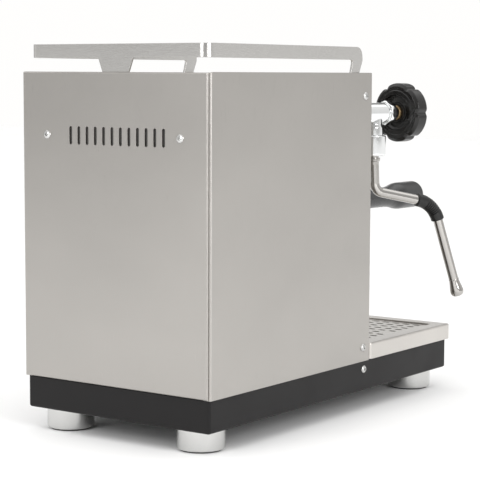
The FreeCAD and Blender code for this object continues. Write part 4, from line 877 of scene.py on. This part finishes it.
class ScrewMaker(bpy.types.Operator):
    """Make the domed cover screws with their sockets"""
    bl_idname = "espresso.screws"
    bl_label = "Cover screws"

    def execute(self, context):
        profile = [(0, 0.5), (1.35, 0.5), (1.35, 1.5), (1.5, 1.6), (2.6, 1.42), (3.4, 0.95),
                   (3.75, 0.4), (3.8, 0), (1.9, 0), (1.9, -5), (0, -5)]

        def socket(angle, profile):
            """The profile's radius, times a hexagon's reach where it is the socket's wall."""
            inside = ((profile[:, 1] >= 0.5) & (profile[:, 0] < 1.45))[:, None]
            return profile[:, :1] * np.where(inside, hexagon(angle, 1), 1)

        screws = []
        for sign, face in ((-1, LEFT), (1, RIGHT)):
            for z in (62.5, 301.3):
                screws.append(((face, 15.8, z), (sign, 0, 0)))
            screws.append(((face - sign * 2.4, 10.4, 40.7), (sign, 0, 0)))
            screws.append(((MIDDLE + sign * 74.2, REAR, VENTS_Z), (0, 1, 0)))
        heads = [revolve(profile, place, out, 36, socket, 0.3 * number)
                 for number, (place, out) in enumerate(screws)]
        make_piece("domed_screws", heads, "screw_steel",
                   replaces=("cover_screws",), sharp=50)
        return {"FINISHED"}


class RoofMaker(bpy.types.Operator):
    """Make the slotted warming plate and the tank's lid"""
    bl_idname = "espresso.roof"
    bl_label = "Warming plate and lid"

    def execute(self, context):
        low, high = node_box("top_plate")
        hatch = (-74.0, 102.0, 168.0, 249.5)
        slots_x = MIDDLE + (np.arange(15) - 7) * 11.0
        slots_y = FRONT + 33.0 + np.arange(4) * 36.0
        outline = (low[0], high[0], low[1], hatch[2])
        layout = pierced_sheet(outline, (slots_x, slots_y), (5.5, 18), (1.7, 13))
        beside = [hatch[2], hatch[3], high[1]]
        rim = merged_layout([block_cells([low[0], hatch[0]], beside),
                             block_cells([hatch[1], high[0]], beside),
                             block_cells([hatch[0], hatch[1]], [hatch[3], high[1]])])
        parts = [thicken(*sheet, low[2], high[2]) for sheet in (layout, rim)]
        make_piece("warming_plate", parts, "level_steel",
                   replaces=("top_plate",), edge=0.0002)
        bevelled_copy("tank_cover", "tank_lid", "lid_steel", "tank_lid",
                      0.0005, 3)
        return {"FINISHED"}


class RailMaker(bpy.types.Operator):
    """Make the bent cup rail with its shaped front legs"""
    bl_idname = "espresso.cup_rail"
    bl_label = "Cup rail"

    def execute(self, context):
        bend = sizes().rail_bend / MM
        half, rear, thick = 99.0, 255.0, 2.2
        top, low, foot = 347.0, 335.0, 322.5
        # The front leg's nose and heel, both spread over the same number of points.
        nose = rounded([(17.8, foot), (12.0, 334.5), (13.2, top), (43.4, top)],
                       [0, 6, 9.0, 0], 8)
        heel = rounded([(32.6, foot), (28.7, low), (43.4, low)], [0, 2.2, 0], 6)
        upper, _ = spaced(np.column_stack([nose, np.zeros(len(nose))]), 1.2)
        part = np.linspace(0, 1, len(upper))
        under, at = spaced(np.column_stack([heel, np.zeros(len(heel))]), 0.5)
        at = at / at[-1]
        under = np.stack([np.interp(part, at, under[:, k]) for k in range(3)], -1)
        run = rounded([(half, 60), (half, rear), (0, rear)], [0, bend, 0], 14)[1:-1]
        leg = rounded([(26, low), (19.25, low), (14.5, foot), (-14.5, foot), (-19.25, low),
                       (-26, low)], [0, 2, 0, 0, 2, 0], 5)
        # Upper and lower lines of one side, then of the rear with its leg, then mirrored.
        side_plan = np.concatenate([np.column_stack([np.full(len(upper), half), upper[:, 0]]),
                                    run])
        side_top = np.concatenate([upper[:, 1], np.full(len(run), top)])
        side_low_plan = np.concatenate([np.column_stack([np.full(len(under), half),
                                                         under[:, 0]]), run])
        side_low = np.concatenate([under[:, 1], np.full(len(run), low)])
        centre = np.column_stack([leg[:, 0], np.full(len(leg), rear)])
        mirror = np.array([-1, 1])
        plan_top = np.concatenate([side_plan, centre, side_plan[::-1] * mirror])
        plan_low = np.concatenate([side_low_plan, centre, side_low_plan[::-1] * mirror])
        z_top = np.concatenate([side_top, np.full(len(leg), top), side_top[::-1]])
        z_low = np.concatenate([side_low, leg[:, 1], side_low[::-1]])
        bend_out = np.clip(run - [half - bend, rear - bend], 0, bend)
        bend_out /= np.linalg.norm(bend_out, axis=1)[:, None]
        side_out = np.concatenate([np.tile([1.0, 0.0], (len(upper), 1)), bend_out])
        out = np.concatenate([side_out, np.tile([0.0, 1.0], (len(leg), 1)),
                              side_out[::-1] * mirror])
        # A row of four points, outside and inside, is carried along both lines.
        rows = []
        for plan, z, inset in ((plan_top, z_top, 0), (plan_top, z_top, thick),
                               (plan_low, z_low, thick), (plan_low, z_low, 0)):
            flat = plan - out * inset
            rows.append(np.column_stack([flat[:, 0] + MIDDLE, flat[:, 1], z]))
        points = np.stack(rows, 1).reshape(-1, 3)
        count = len(z_top)
        faces = quads(count, 4, loop_columns=True) + ends(4, 4 * count)
        make_piece("bent_rail", [(points, faces)], "rail_steel",
                   replaces=("cup_rail",), edge=0.0004)
        return {"FINISHED"}


class InnerMaker(bpy.types.Operator):
    """Finish the tank, pump, boiler and the other pieces inside the covers"""
    bl_idname = "espresso.inner_pieces"
    bl_label = "Inner pieces"

    def execute(self, context):
        bevelled_copy("moulded_tank", "water_tank", "tank_plastic",
                      "water_tank", 0.0008, 3)
        for node, material in (
                ("tank_shelf", "inner_steel"), ("vibration_pump", "pump_enamel"),
                ("pump_piston", "inner_steel"), ("pump_mounts", "black_rubber"),
                ("control_box", "black_moulding"), ("boiler_lower", "boiler_brass"),
                ("boiler_upper", "boiler_brass"), ("heating_element", "inner_steel"),
                ("group_bracket", "inner_steel"), ("solenoid_valve", "pump_enamel"),
                ("suction_hose", "silicone"), ("pressure_pipe", "copper"),
                ("steam_pipe", "copper"), ("drain_tube", "silicone")):
            paint_node(node, material)
        return {"FINISHED"}


class GroupMaker(bpy.types.Operator):
    """Make the brewing group with its gasket and shower screen"""
    bl_idname = "espresso.group"
    bl_label = "Brewing group"

    def execute(self, context):
        outside = rounded([(0, 250), (36, 250), (43, 243), (43, 198.5), (39, 198.5)],
                          [0, 9, 6, 1.0, 0], 8)
        inside = [(35.4, 198.5), (35.4, 204), (40, 204), (40, 221), (0, 221)]
        profile = np.concatenate([outside, inside])
        lip = (profile[:, 1] < 204.1) & (profile[:, 0] < 35.5)

        def notched(angle, profile):
            """The profile's radius, but the lip opens over two arcs that let the ears in."""
            swing = np.degrees((angle + math.radians(45) + math.pi / 2) % math.pi) - 90
            open_here = np.abs(swing) < 25
            reach = np.repeat(profile[:, :1], len(angle), 1)
            return np.where(lip[:, None] & open_here[None], 38.9, reach)

        bell = revolve(profile, (*GROUP, 0), segments=144, radius=notched)
        neck = facing_front(stack([
            (-16, 44, 214, 250, 8, -7.2), (-16, 44, 214, 250, 8, 2.5),
            (-14.5, 42.5, 215, 249, 9, 6), (-12, 40, 216, 248.5, 10, 14),
            (-10, 38, 216.5, 248.5, 10, 24), (-10, 38, 216.5, 248.5, 10, 70)], 6), 2)
        flange = facing_front(stack(inset_rows((-24, 52, 206, 258), 7, [
            (0, 0), (0, 2.9), (0.15, 3.4), (0.5, 3.85), (1.0, 4.0)]), 6), 2)
        bolts = []
        for x in (-18, 46):
            for z in (212, 252):
                bolts.append(revolve([(0, 2.2), (1.6, 2.2), (1.6, 3.6), (2.9, 3.6), (3.2, 3.2),
                                      (3.2, 0), (0, 0)], (x, -1.6, z), (0, -1, 0), 36))
        make_piece("group_casting", [bell, neck, flange, *bolts], "chrome",
                   replaces=("group_head",))
        seal = ring_turned(rounded([(28.8, 212.6), (36.5, 212.6), (36.5, 221), (28.8, 221)],
                                   0.5, 2, closed=True), origin=(*GROUP, 0), segments=72)
        make_piece("group_seal", [seal], "black_rubber",
                   replaces=("group_gasket",))
        screen = revolve(rounded([(0, 221), (5, 221), (5, 217), (28.4, 217), (28.4, 214),
                                  (5.2, 214), (5.2, 213.6), (0, 213.6)],
                                 [0, 0, 0, 0.6, 0.8, 0, 0.2, 0], 4), (*GROUP, 0),
                         segments=72)
        make_piece("shower_plate", [screen], "pipe_steel",
                   replaces=("shower_screen",))
        return {"FINISHED"}


class PortafilterMaker(bpy.types.Operator):
    """Make the portafilter, its basket, twin spout and handle"""
    bl_idname = "espresso.portafilter"
    bl_label = "Portafilter"

    def execute(self, context):
        x, y = GROUP
        cup_profile = rounded([
            (4, 171), (31, 171), (35, 175), (35, 210.8), (31.2, 210.8), (31.2, 175),
            (4, 175)], [0.3, 5, 6, 0.6, 0.6, 1, 0.3], 5, closed=True)
        cup = ring_turned(cup_profile, origin=(x, y, 0), segments=96)
        section = rounded([(32.5, 204.4), (39.3, 204.4), (39.3, 209.4), (32.5, 209.4)],
                          [0, 0.8, 0.8, 0], 3, closed=True)
        ears = [carried(section, np.linspace(side - 22, side + 22, 13), GROUP)
                for side in (0, 180)]
        arm = revolve(rounded([(0, 32.2), (9.6, 32.2), (9.0, 36), (8, 40), (8, 56), (0, 56)],
                              [0, 0, 2, 3, 0.5, 0], 4), (x, y, HANDLE_Z), (0, -1, 0), 48)
        make_piece("filter_holder", [cup, *ears, arm], "chrome",
                   "portafilter", ("portafilter_body",))
        basket = revolve([
            (0, 185.8), (27.2, 185.8), (29.2, 186.8), (29.8, 189.8), (29.8, 210.8),
            (33.6, 210.8), (34, 211.1), (34, 211.7), (33.6, 212), (29.4, 212), (29, 211.6),
            (29, 190), (28.2, 187.6), (26.8, 186.6), (0, 186.6)], (x, y, 0), segments=72)
        make_piece("basket_cup", [basket], "pipe_steel", "portafilter",
                   ("filter_basket",))
        parts = [revolve(rounded([(0, 161), (8, 161), (8, 171), (0, 171)],
                                 [0, 2, 0.5, 0], 4), (x, y, 0), segments=48)]
        for side in (-1, 1):
            path = rounded([(x, y, 163.5), (x + side * 13, y, 161.5), (x + side * 13, y, 151)],
                           [0, 6, 0], 10)
            path = np.concatenate([path, [(x + side * 13, y, 147)]])
            radius = np.interp(path[:, 2], [147, 148, 163], [6.0, 6.3, 5.4])
            parts.append(tube(path, radius, 36))
        make_piece("twin_spout", parts, "chrome", "portafilter",
                   ("double_spout",))
        ferrule = revolve(rounded([(0, 56), (12, 56), (12, 62), (0, 62)],
                                  [0, 1, 0.8, 0], 5), (x, y, HANDLE_Z), (0, -1, 0), 64)
        make_piece("grip_ferrule", [ferrule], "chrome", "portafilter",
                   ("handle_ferrule",))
        curve = np.array([(11.3, 62), (11.2, 66), (10.6, 72), (10.4, 82), (10.4, 104),
                          (10.5, 122), (10.9, 131), (12.0, 139), (13.4, 145),
                          (14.2, 149.5), (14.5, 154), (14.5, 186)])
        reach = np.concatenate([np.linspace(62, 72, 8), np.linspace(74, 132, 14),
                                np.linspace(133, 158, 30)])
        swell = np.interp(reach, curve[:, 1], curve[:, 0])
        # The grip's outline, evened out from its neck to its swell.
        kernel = np.array([1, 2, 3, 2, 1]) / 9
        swell[10:-3] = np.convolve(swell, kernel, "same")[10:-3]
        end = rounded([(14.5, 160), (14.5, 190), (0, 190)], [0, 4.2, 0], 8)
        dish = [(9.6, 190), (9.0, 189.6), (0, 189.5)]
        profile = np.concatenate([[(0, 62)], np.column_stack([swell, reach]), end[:-1], dish])
        grip = revolve(profile, (x, y, HANDLE_Z), (0, -1, 0), 72)
        make_piece("moulded_grip", [grip], "grip_black", "portafilter",
                   ("handle_grip",))
        return {"FINISHED"}


class ValveMaker(bpy.types.Operator):
    """Make the steam valve's body, its nuts and its spindle"""
    bl_idname = "espresso.steam_valve"
    bl_label = "Steam valve"

    def execute(self, context):
        barrel = revolve(rounded([(0, -60), (10, -60), (10, 14), (0, 14)],
                                 [0, 1, 2.2, 0], 6), VALVE, VALVE_AHEAD, 72)
        stem = revolve(rounded([(0, 262), (9.5, 262), (9.5, 270), (8.4, 273), (8.4, 286),
                                (0, 286)], [0, 0.6, 2, 2, 1, 0], 5), (*WAND, 0),
                       segments=64)
        seat = (WAND[0] + (FRONT - WAND[1]) * math.tan(math.radians(10)), FRONT, VALVE_Z)
        flange = revolve(rounded([(0, 0), (16, 0), (16, 2.5), (0, 2.5)],
                                 [0, 0.2, 1.2, 0], 5), seat, (0, -1, 0), 72)
        make_piece("valve_casting", [barrel, stem, flange], "chrome",
                   replaces=("valve_body",))

        def flats(angle, profile):
            """The profile's radius, or a hexagon's reach where that is less."""
            return np.minimum(profile[:, :1], hexagon(angle, 10.9))

        nut = ring_turned([(5.0, 14.2), (9.8, 14.2), (11.2, 14.9), (12, 16.2), (12, 21.2),
                           (11.2, 22.6), (9.6, 23.8), (8.4, 24), (5.0, 24)],
                          origin=VALVE, direction=VALVE_AHEAD, radius=flats,
                          segments=96)
        make_piece("gland_hexagon", [nut], "chrome",
                   replaces=("packing_nut",), edge=0.0003)
        profile = np.concatenate([rounded([(7.4, 243), (7.8, 242), (12, 242), (12, 262),
                                           (9.7, 262)], [0, 0.3, 2.4, 0.9, 0], 6),
                                  [(9.7, 244), (7.4, 244)]])
        ball_nut = ring_turned(profile, origin=(*WAND, 0), segments=72)
        make_piece("ball_housing", [ball_nut], "chrome",
                   replaces=("ball_nut",))
        rod = revolve(rounded([(0, 6), (4.9, 6), (4.9, 46), (0, 46)], [0, 0.4, 0.4, 0], 3),
                      VALVE, VALVE_AHEAD, 40)
        make_piece("turned_spindle", [rod], "turned_brass", "steam_knob",
                   ("valve_spindle",))
        return {"FINISHED"}


class KnobMaker(bpy.types.Operator):
    """Make the fluted steam knob"""
    bl_idname = "espresso.steam_knob"
    bl_label = "Steam knob"

    def execute(self, context):
        depth, lobes = sizes().lobe_depth / MM, 6
        back = rounded([(5.0, 31.2), (6.4, 31.2), (6.4, 33.6), (9.6, 33.6), (10.2, 35.6),
                        (15.4, 36.4), (17.2, 34.4), (18.0, 32.0), (21.5, 32.0), (22.2, 32.6),
                        (25.8, 32.6), (29, 34.8), (29, 47.0), (24.5, 51), (20, 51),
                        (18.8, 50.3), (0, 50.0)],
                       [0, 0.3, 0.3, 0.4, 0.8, 1.2, 0.8, 0.3, 0.3, 0.2, 1.6, 1.6, 2.2, 2,
                        0.6, 0.6, 0], 4)
        profile = np.concatenate([[(0, 46), (5.0, 46)], back])
        rim = np.clip((profile[:, 0] - 19) / 10, 0, 1) ** 1.6

        def fluted(angle, profile):
            """The radius less, on the rim, a bell-shaped groove between two lobes and a fall
            that grows with the square of the distance from a lobe's middle."""
            phase = np.abs((angle * lobes / (2 * math.pi) + 0.5) % 1.0 - 0.5)
            groove = depth * np.exp(-(phase / 0.075) ** 2) + 0.8 * (1 - 2 * phase) ** 2
            return profile[:, :1] - rim[:, None] * groove[None]

        knob = revolve(profile, VALVE, VALVE_AHEAD, 240, fluted)
        make_piece("fluted_knob", [knob], "knob_black", "steam_knob",
                   ("steam_knob",), sharp=50)
        ring = ring_turned(rounded([(5.0, 30.8), (7.1, 30.8), (7.4, 33.2), (5.0, 33.2)],
                                   [0, 0.5, 0.2, 0], 3, closed=True),
                           origin=VALVE, direction=VALVE_AHEAD, segments=64)
        make_piece("knob_collet", [ring], "turned_brass", "steam_knob")
        sleeve = ring_turned(rounded([(5.0, 24.4), (6.1, 24.4), (6.1, 30.7), (5.0, 30.7)],
                                     [0, 0.6, 0.6, 0], 3, closed=True),
                             origin=VALVE, direction=VALVE_AHEAD, segments=64)
        make_piece("knob_sleeve", [sleeve], "knob_black", "steam_knob")
        return {"FINISHED"}


def wand_point(reach, z):
    """A place in the wand's plane: its reach outwards from the ball, and its height."""
    return (WAND[0] + OUTWARD[0] * reach, WAND[1] + OUTWARD[1] * reach, z)


class WandMaker(bpy.types.Operator):
    """Make the steam wand: pipe, ribbed sleeve, tip and the ball's seat"""
    bl_idname = "espresso.wand"
    bl_label = "Steam wand"

    def execute(self, context):
        neck, knee, end = np.array([(2, 207.5), (68.9, 193.5), (99.5, 98.9)])
        bend = 30
        heading = (end - knee) / np.linalg.norm(end - knee)
        tip_start = end - heading * 18
        route = rounded([wand_point(0, 250), wand_point(*neck), wand_point(*knee),
                         wand_point(*tip_start)], [0, 10, bend, 0], 24)
        turn = np.linspace(0, math.pi, 25)
        ball = revolve(np.stack([8 * np.sin(turn), 250 - 8 * np.cos(turn)], -1),
                       (*WAND, 0), segments=48)
        collar = revolve(rounded([(0, 233.5), (5.6, 233.5), (5.6, 236.6), (6.6, 237.4),
                                  (6.6, 240.4), (0, 240.4)],
                                 [0, 0.4, 0.2, 0.2, 0.5, 0], 3), (*WAND, 0), segments=48)
        make_piece("bent_pipe", [tube(route, 4.8, 48), ball, collar], "pipe_steel",
                   "steam_wand", ("wand_pipe",))
        back = (neck - knee) / np.linalg.norm(neck - knee)
        reach = bend / math.tan(math.acos(float(back @ heading)) / 2)
        corners = [wand_point(*(knee + back * (reach + 2.4))), wand_point(*knee),
                   wand_point(*(knee + heading * reach))]
        path, at = spaced(rounded(corners, [0, bend, 0], 60), 0.16)
        # The sleeve's radius less, between its plain ends, a raised cosine for each rib.
        depth = sizes().rib_depth / MM
        length, plain_start, plain_end = at[-1], 10.0, 8.0
        ribbed = np.clip(at - plain_start, 0, 1) * np.clip(length - plain_end - at, 0, 1)
        phase = (at - plain_start) / (length - plain_start - plain_end) * sizes().rib_count
        groove = (0.5 - 0.5 * np.cos(phase * 2 * math.pi)) ** 1.5
        ends = np.minimum(at, length - at)
        radius = 6.6 - depth * ribbed * groove - rolled(ends, 0.8)
        make_piece("ribbed_sleeve", [tube(path, radius, 48)], "sleeve_rubber",
                   "steam_wand", ("wand_sleeve",))
        outline = np.array([(0, 0), (5.0, 0), (5.15, 0.25), (5.15, 0.8), (4.9, 1.0),
                            (4.9, 1.5), (5.2, 3.5), (5.7, 6.5), (6.3, 9.5), (6.65, 12),
                            (6.7, 13.6), (6.45, 15.2), (5.7, 16.7), (4.4, 17.6), (2.8, 17.95),
                            (1.0, 18.0), (0, 18.0)])
        start = np.array(wand_point(*tip_start))
        ahead = np.array(wand_point(*end)) - start
        tip = revolve(outline, start, ahead, 56)
        make_piece("wand_tip", [tip], "pipe_steel", "steam_wand",
                   ("steam_tip",), sharp=35)
        seat = ring_turned(rounded([(5.5, 256.2), (9.3, 256.2), (9.3, 259.2), (5.5, 259.2)],
                                   0.4, 3, closed=True), origin=(*WAND, 0), segments=48)
        make_piece("ball_washer", [seat], "seat_polymer", "wand_seat",
                   ("ball_seat",))
        return {"FINISHED"}


class TrayMaker(bpy.types.Operator):
    """Make the drip tray and its slotted grid"""
    bl_idname = "espresso.drip_tray"
    bl_label = "Drip tray"

    def execute(self, context):
        # The pan's outside, the rolled rim of its opening and its basin, as one line of rows.
        outside = rounded([(4, 49.3), (0, 49.3), (0, 65), (4, 65)], [0, 0.4, 1.8, 0], 6)[:-1]
        rows = inset_rows(PAN_BOX, 3.5, outside)
        rows += inset_rows(OPENING_BOX, 5.0, rounded([(-3, 65), (0, 65), (0, 61.4)],
                                                   [0, 0.8, 0], 4)[1:])
        rows += inset_rows(BASIN_BOX, 5.0, rounded([(0, 61.4), (0, 50.8), (8, 50.8)],
                                                   [0, 3, 0], 5))
        make_piece("tray_pan", [stack(rows, 7)], "level_steel", "drip_tray",
                   ("drip_tray",), sharp=35)
        # A near-black lining just inside the basin: painted shade where the basin's inside lies
        # in shadow.
        lining = rounded([(8, 50.82), (0.02, 50.82), (0.02, 61.2), (0.5, 61.2), (0.5, 51.3),
                          (8, 51.3)], [0, 3, 0, 0, 3, 0], 5)
        make_piece("tray_lining", [stack(inset_rows(BASIN_BOX, 5.0, lining), 7)],
                   "basin_steel", "drip_tray", sharp=35)
        self.grid()
        return {"FINISHED"}

    def grid(self):
        """A sheet of slots, one of which is filled beside the grip: its cell is taken out
        and put back with a fan of faces round its middle."""
        outline = (-76.7, 104.7, -142.2, -1.6)
        pitch_x, pitch_y = 12.1, 12.15
        cell, slot = (pitch_x / 2, pitch_y / 2), (4.1, 2.1)
        xs = MIDDLE + (np.arange(14) - 6.5) * pitch_x
        ys = -132.2 + np.arange(10) * pitch_y
        filled = (xs[0], ys[5])
        layout, faces = pierced_sheet(outline, (xs, ys), cell, slot)
        away = np.abs(layout[faces].mean(1) - filled)
        kept = faces[~((away[:, 0] < 6.0) & (away[:, 1] < 6.0))]
        ring, ring_faces = slot_cells([filled], cell, slot)
        around, middle = len(ring) // 2, len(ring)
        fan = [[k, (k + 1) % around, middle, middle] for k in range(around)]
        patch = (np.concatenate([ring, [filled]]), np.concatenate([ring_faces, fan]))
        layout, faces = merged_layout([(layout, kept), patch])
        make_piece("slotted_grid", [thicken(layout, faces, 61.7, 63.5)], "level_steel",
                   "drip_grid", ("drip_grid",), edge=0.0)


class InstrumentMaker(bpy.types.Operator):
    """Make the pressure gauge, the display, its buttons and the rocker switches"""
    bl_idname = "espresso.instruments"
    bl_label = "Instruments"

    def execute(self, context):
        self.gauge()
        self.display()
        self.switches()
        return {"FINISHED"}

    def gauge(self):
        x, y, z = GAUGE
        case = rounded([(20.6, -1.9), (20.6, 4.4), (21.6, 5), (23.6, 5), (25, 3.4), (25, 0),
                        (22, 0), (22, -28), (0, -28), (0, -1.9)],
                       [0, 0.2, 0.6, 1.0, 1.2, 0.2, 0, 1, 0, 0], 5)
        make_piece("gauge_bezel", [revolve(case, GAUGE, (0, -1, 0), 96)], "chrome",
                   replaces=("gauge_case",))
        paint_node("gauge_dial", "dial_white")

        def printed(flat, faces):
            """A flat mark made solid and laid on the dial."""
            points, faces = thicken(flat, faces, 0.0, 0.08)
            return np.stack([x + points[:, 0], y + 1.1 - points[:, 2], z + points[:, 1]],
                            -1), faces

        ticks = []
        for number in range(46):
            turn = math.radians(225 - number * 6)
            long = number % 5 == 0
            inner, outer = (14.6 if long else 16.4), 18.2
            half = 0.35 if long else 0.16
            spoke = np.array([math.cos(turn), math.sin(turn)])
            side = np.array([-spoke[1], spoke[0]]) * half
            flat = np.array([spoke * inner - side, spoke * outer - side,
                             spoke * outer + side, spoke * inner + side])
            ticks.append(printed(flat, [[0, 1, 2, 3]]))
        arc = np.radians(np.linspace(225, -45, 91))
        flat = np.concatenate([np.stack([np.cos(arc), np.sin(arc)], -1) * r
                               for r in (18.2, 18.5)])
        ticks.append(printed(flat, quads(2, len(arc))))
        make_piece("dial_ticks", ticks, "dial_ink")
        paint_node("gauge_needle", "needle_paint")
        paint_node("gauge_glass", "clear_glass")

    def display(self):
        box = (-13, 41, 277, 303)
        front = rounded([(0, 0), (0, 2.5), (3, 2.5)], [0, 1.1, 0], 5)
        bezel = inset_rows(box, 3, front)
        window = (-9, 23, 282, 298)
        bezel += inset_rows(window, 1.0, [(-0.3, 2.5), (0, 2.2), (0, 1.1)])
        case = facing_front(stack(bezel, 6), 2)
        make_piece("display_frame", [case], "gloss_black",
                   replaces=("display_bezel",), sharp=35)
        paint_node("display_screen", "screen_glass")
        for name, z in (("up", 295.6), ("down", 284.4)):
            button = revolve(rounded([(0, 3.9), (3.4, 3.7), (3.4, 0), (0, 0)],
                                     [0, 0.7, 0, 0], 5), (33, 2, z), (0, -1, 0), 40)
            make_piece(f"{name}_key", [button], "black_moulding",
                       f"{name}_button", (f"{name}_button",))

    def switches(self):
        frames = []
        for x in (67, 85, 103):
            box = (x - 7.5, x + 7.5, 221.5, 242.5)
            room = (x - 5.5, x + 5.5, 223.5, 240.5)
            rows = inset_rows(box, 2, rounded([(0, 0), (0, 1.8), (2, 1.8)],
                                              [0, 0.7, 0], 4)[:-1])
            rows += inset_rows(room, 0.6, [(-0.3, 1.8), (0, 1.5), (0, -12)])
            frames.append(facing_front(stack(rows, 5), 2))
        make_piece("rocker_frames", frames, "black_moulding",
                   replaces=("switch_frames",), sharp=35)
        for name in ("power", "brew", "steam"):
            bevelled_copy(f"{name}_cap", f"{name}_rocker", "gloss_black",
                          f"{name}_rocker", 0.0007, 3)


STEPS = (StageSetter, BaseMaker, FeetMaker, SideCoverMaker, RearCoverMaker, FrontCoverMaker,
         ScrewMaker, RoofMaker, RailMaker, InnerMaker, GroupMaker, PortafilterMaker,
         ValveMaker, KnobMaker, WandMaker, TrayMaker, InstrumentMaker)


class MachinePanel(bpy.types.Panel):
    """Lists the steps and the sizes in the sidebar"""
    bl_idname = "VIEW3D_PT_espresso_machine"
    bl_label = "Espresso machine"
    bl_space_type = "VIEW_3D"
    bl_region_type = "UI"
    bl_category = "Espresso"

    def draw(self, context):
        layout = self.layout
        for group in (context.scene.machine_sizes, context.scene.machine_colours):
            box = layout.box()
            for key in group.__annotations__:
                box.prop(group, key)
        for step in STEPS:
            layout.operator(step.bl_idname)


CLASSES = (MachineSizes, MachineColours, *STEPS, MachinePanel)


def register():
    for item in CLASSES:
        bpy.utils.register_class(item)
    bpy.types.Scene.machine_sizes = PointerProperty(type=MachineSizes)
    bpy.types.Scene.machine_colours = PointerProperty(type=MachineColours)


def unregister():
    del bpy.types.Scene.machine_sizes
    del bpy.types.Scene.machine_colours
    for item in reversed(CLASSES):
        bpy.utils.unregister_class(item)


def write_sizes():
    bpy.context.view_layer.update()


def main():
    register()
    for step in STEPS:
        group, name = step.bl_idname.split(".")
        getattr(getattr(bpy.ops, group), name)()
    write_sizes()


if __name__ == "__main__":
    main()
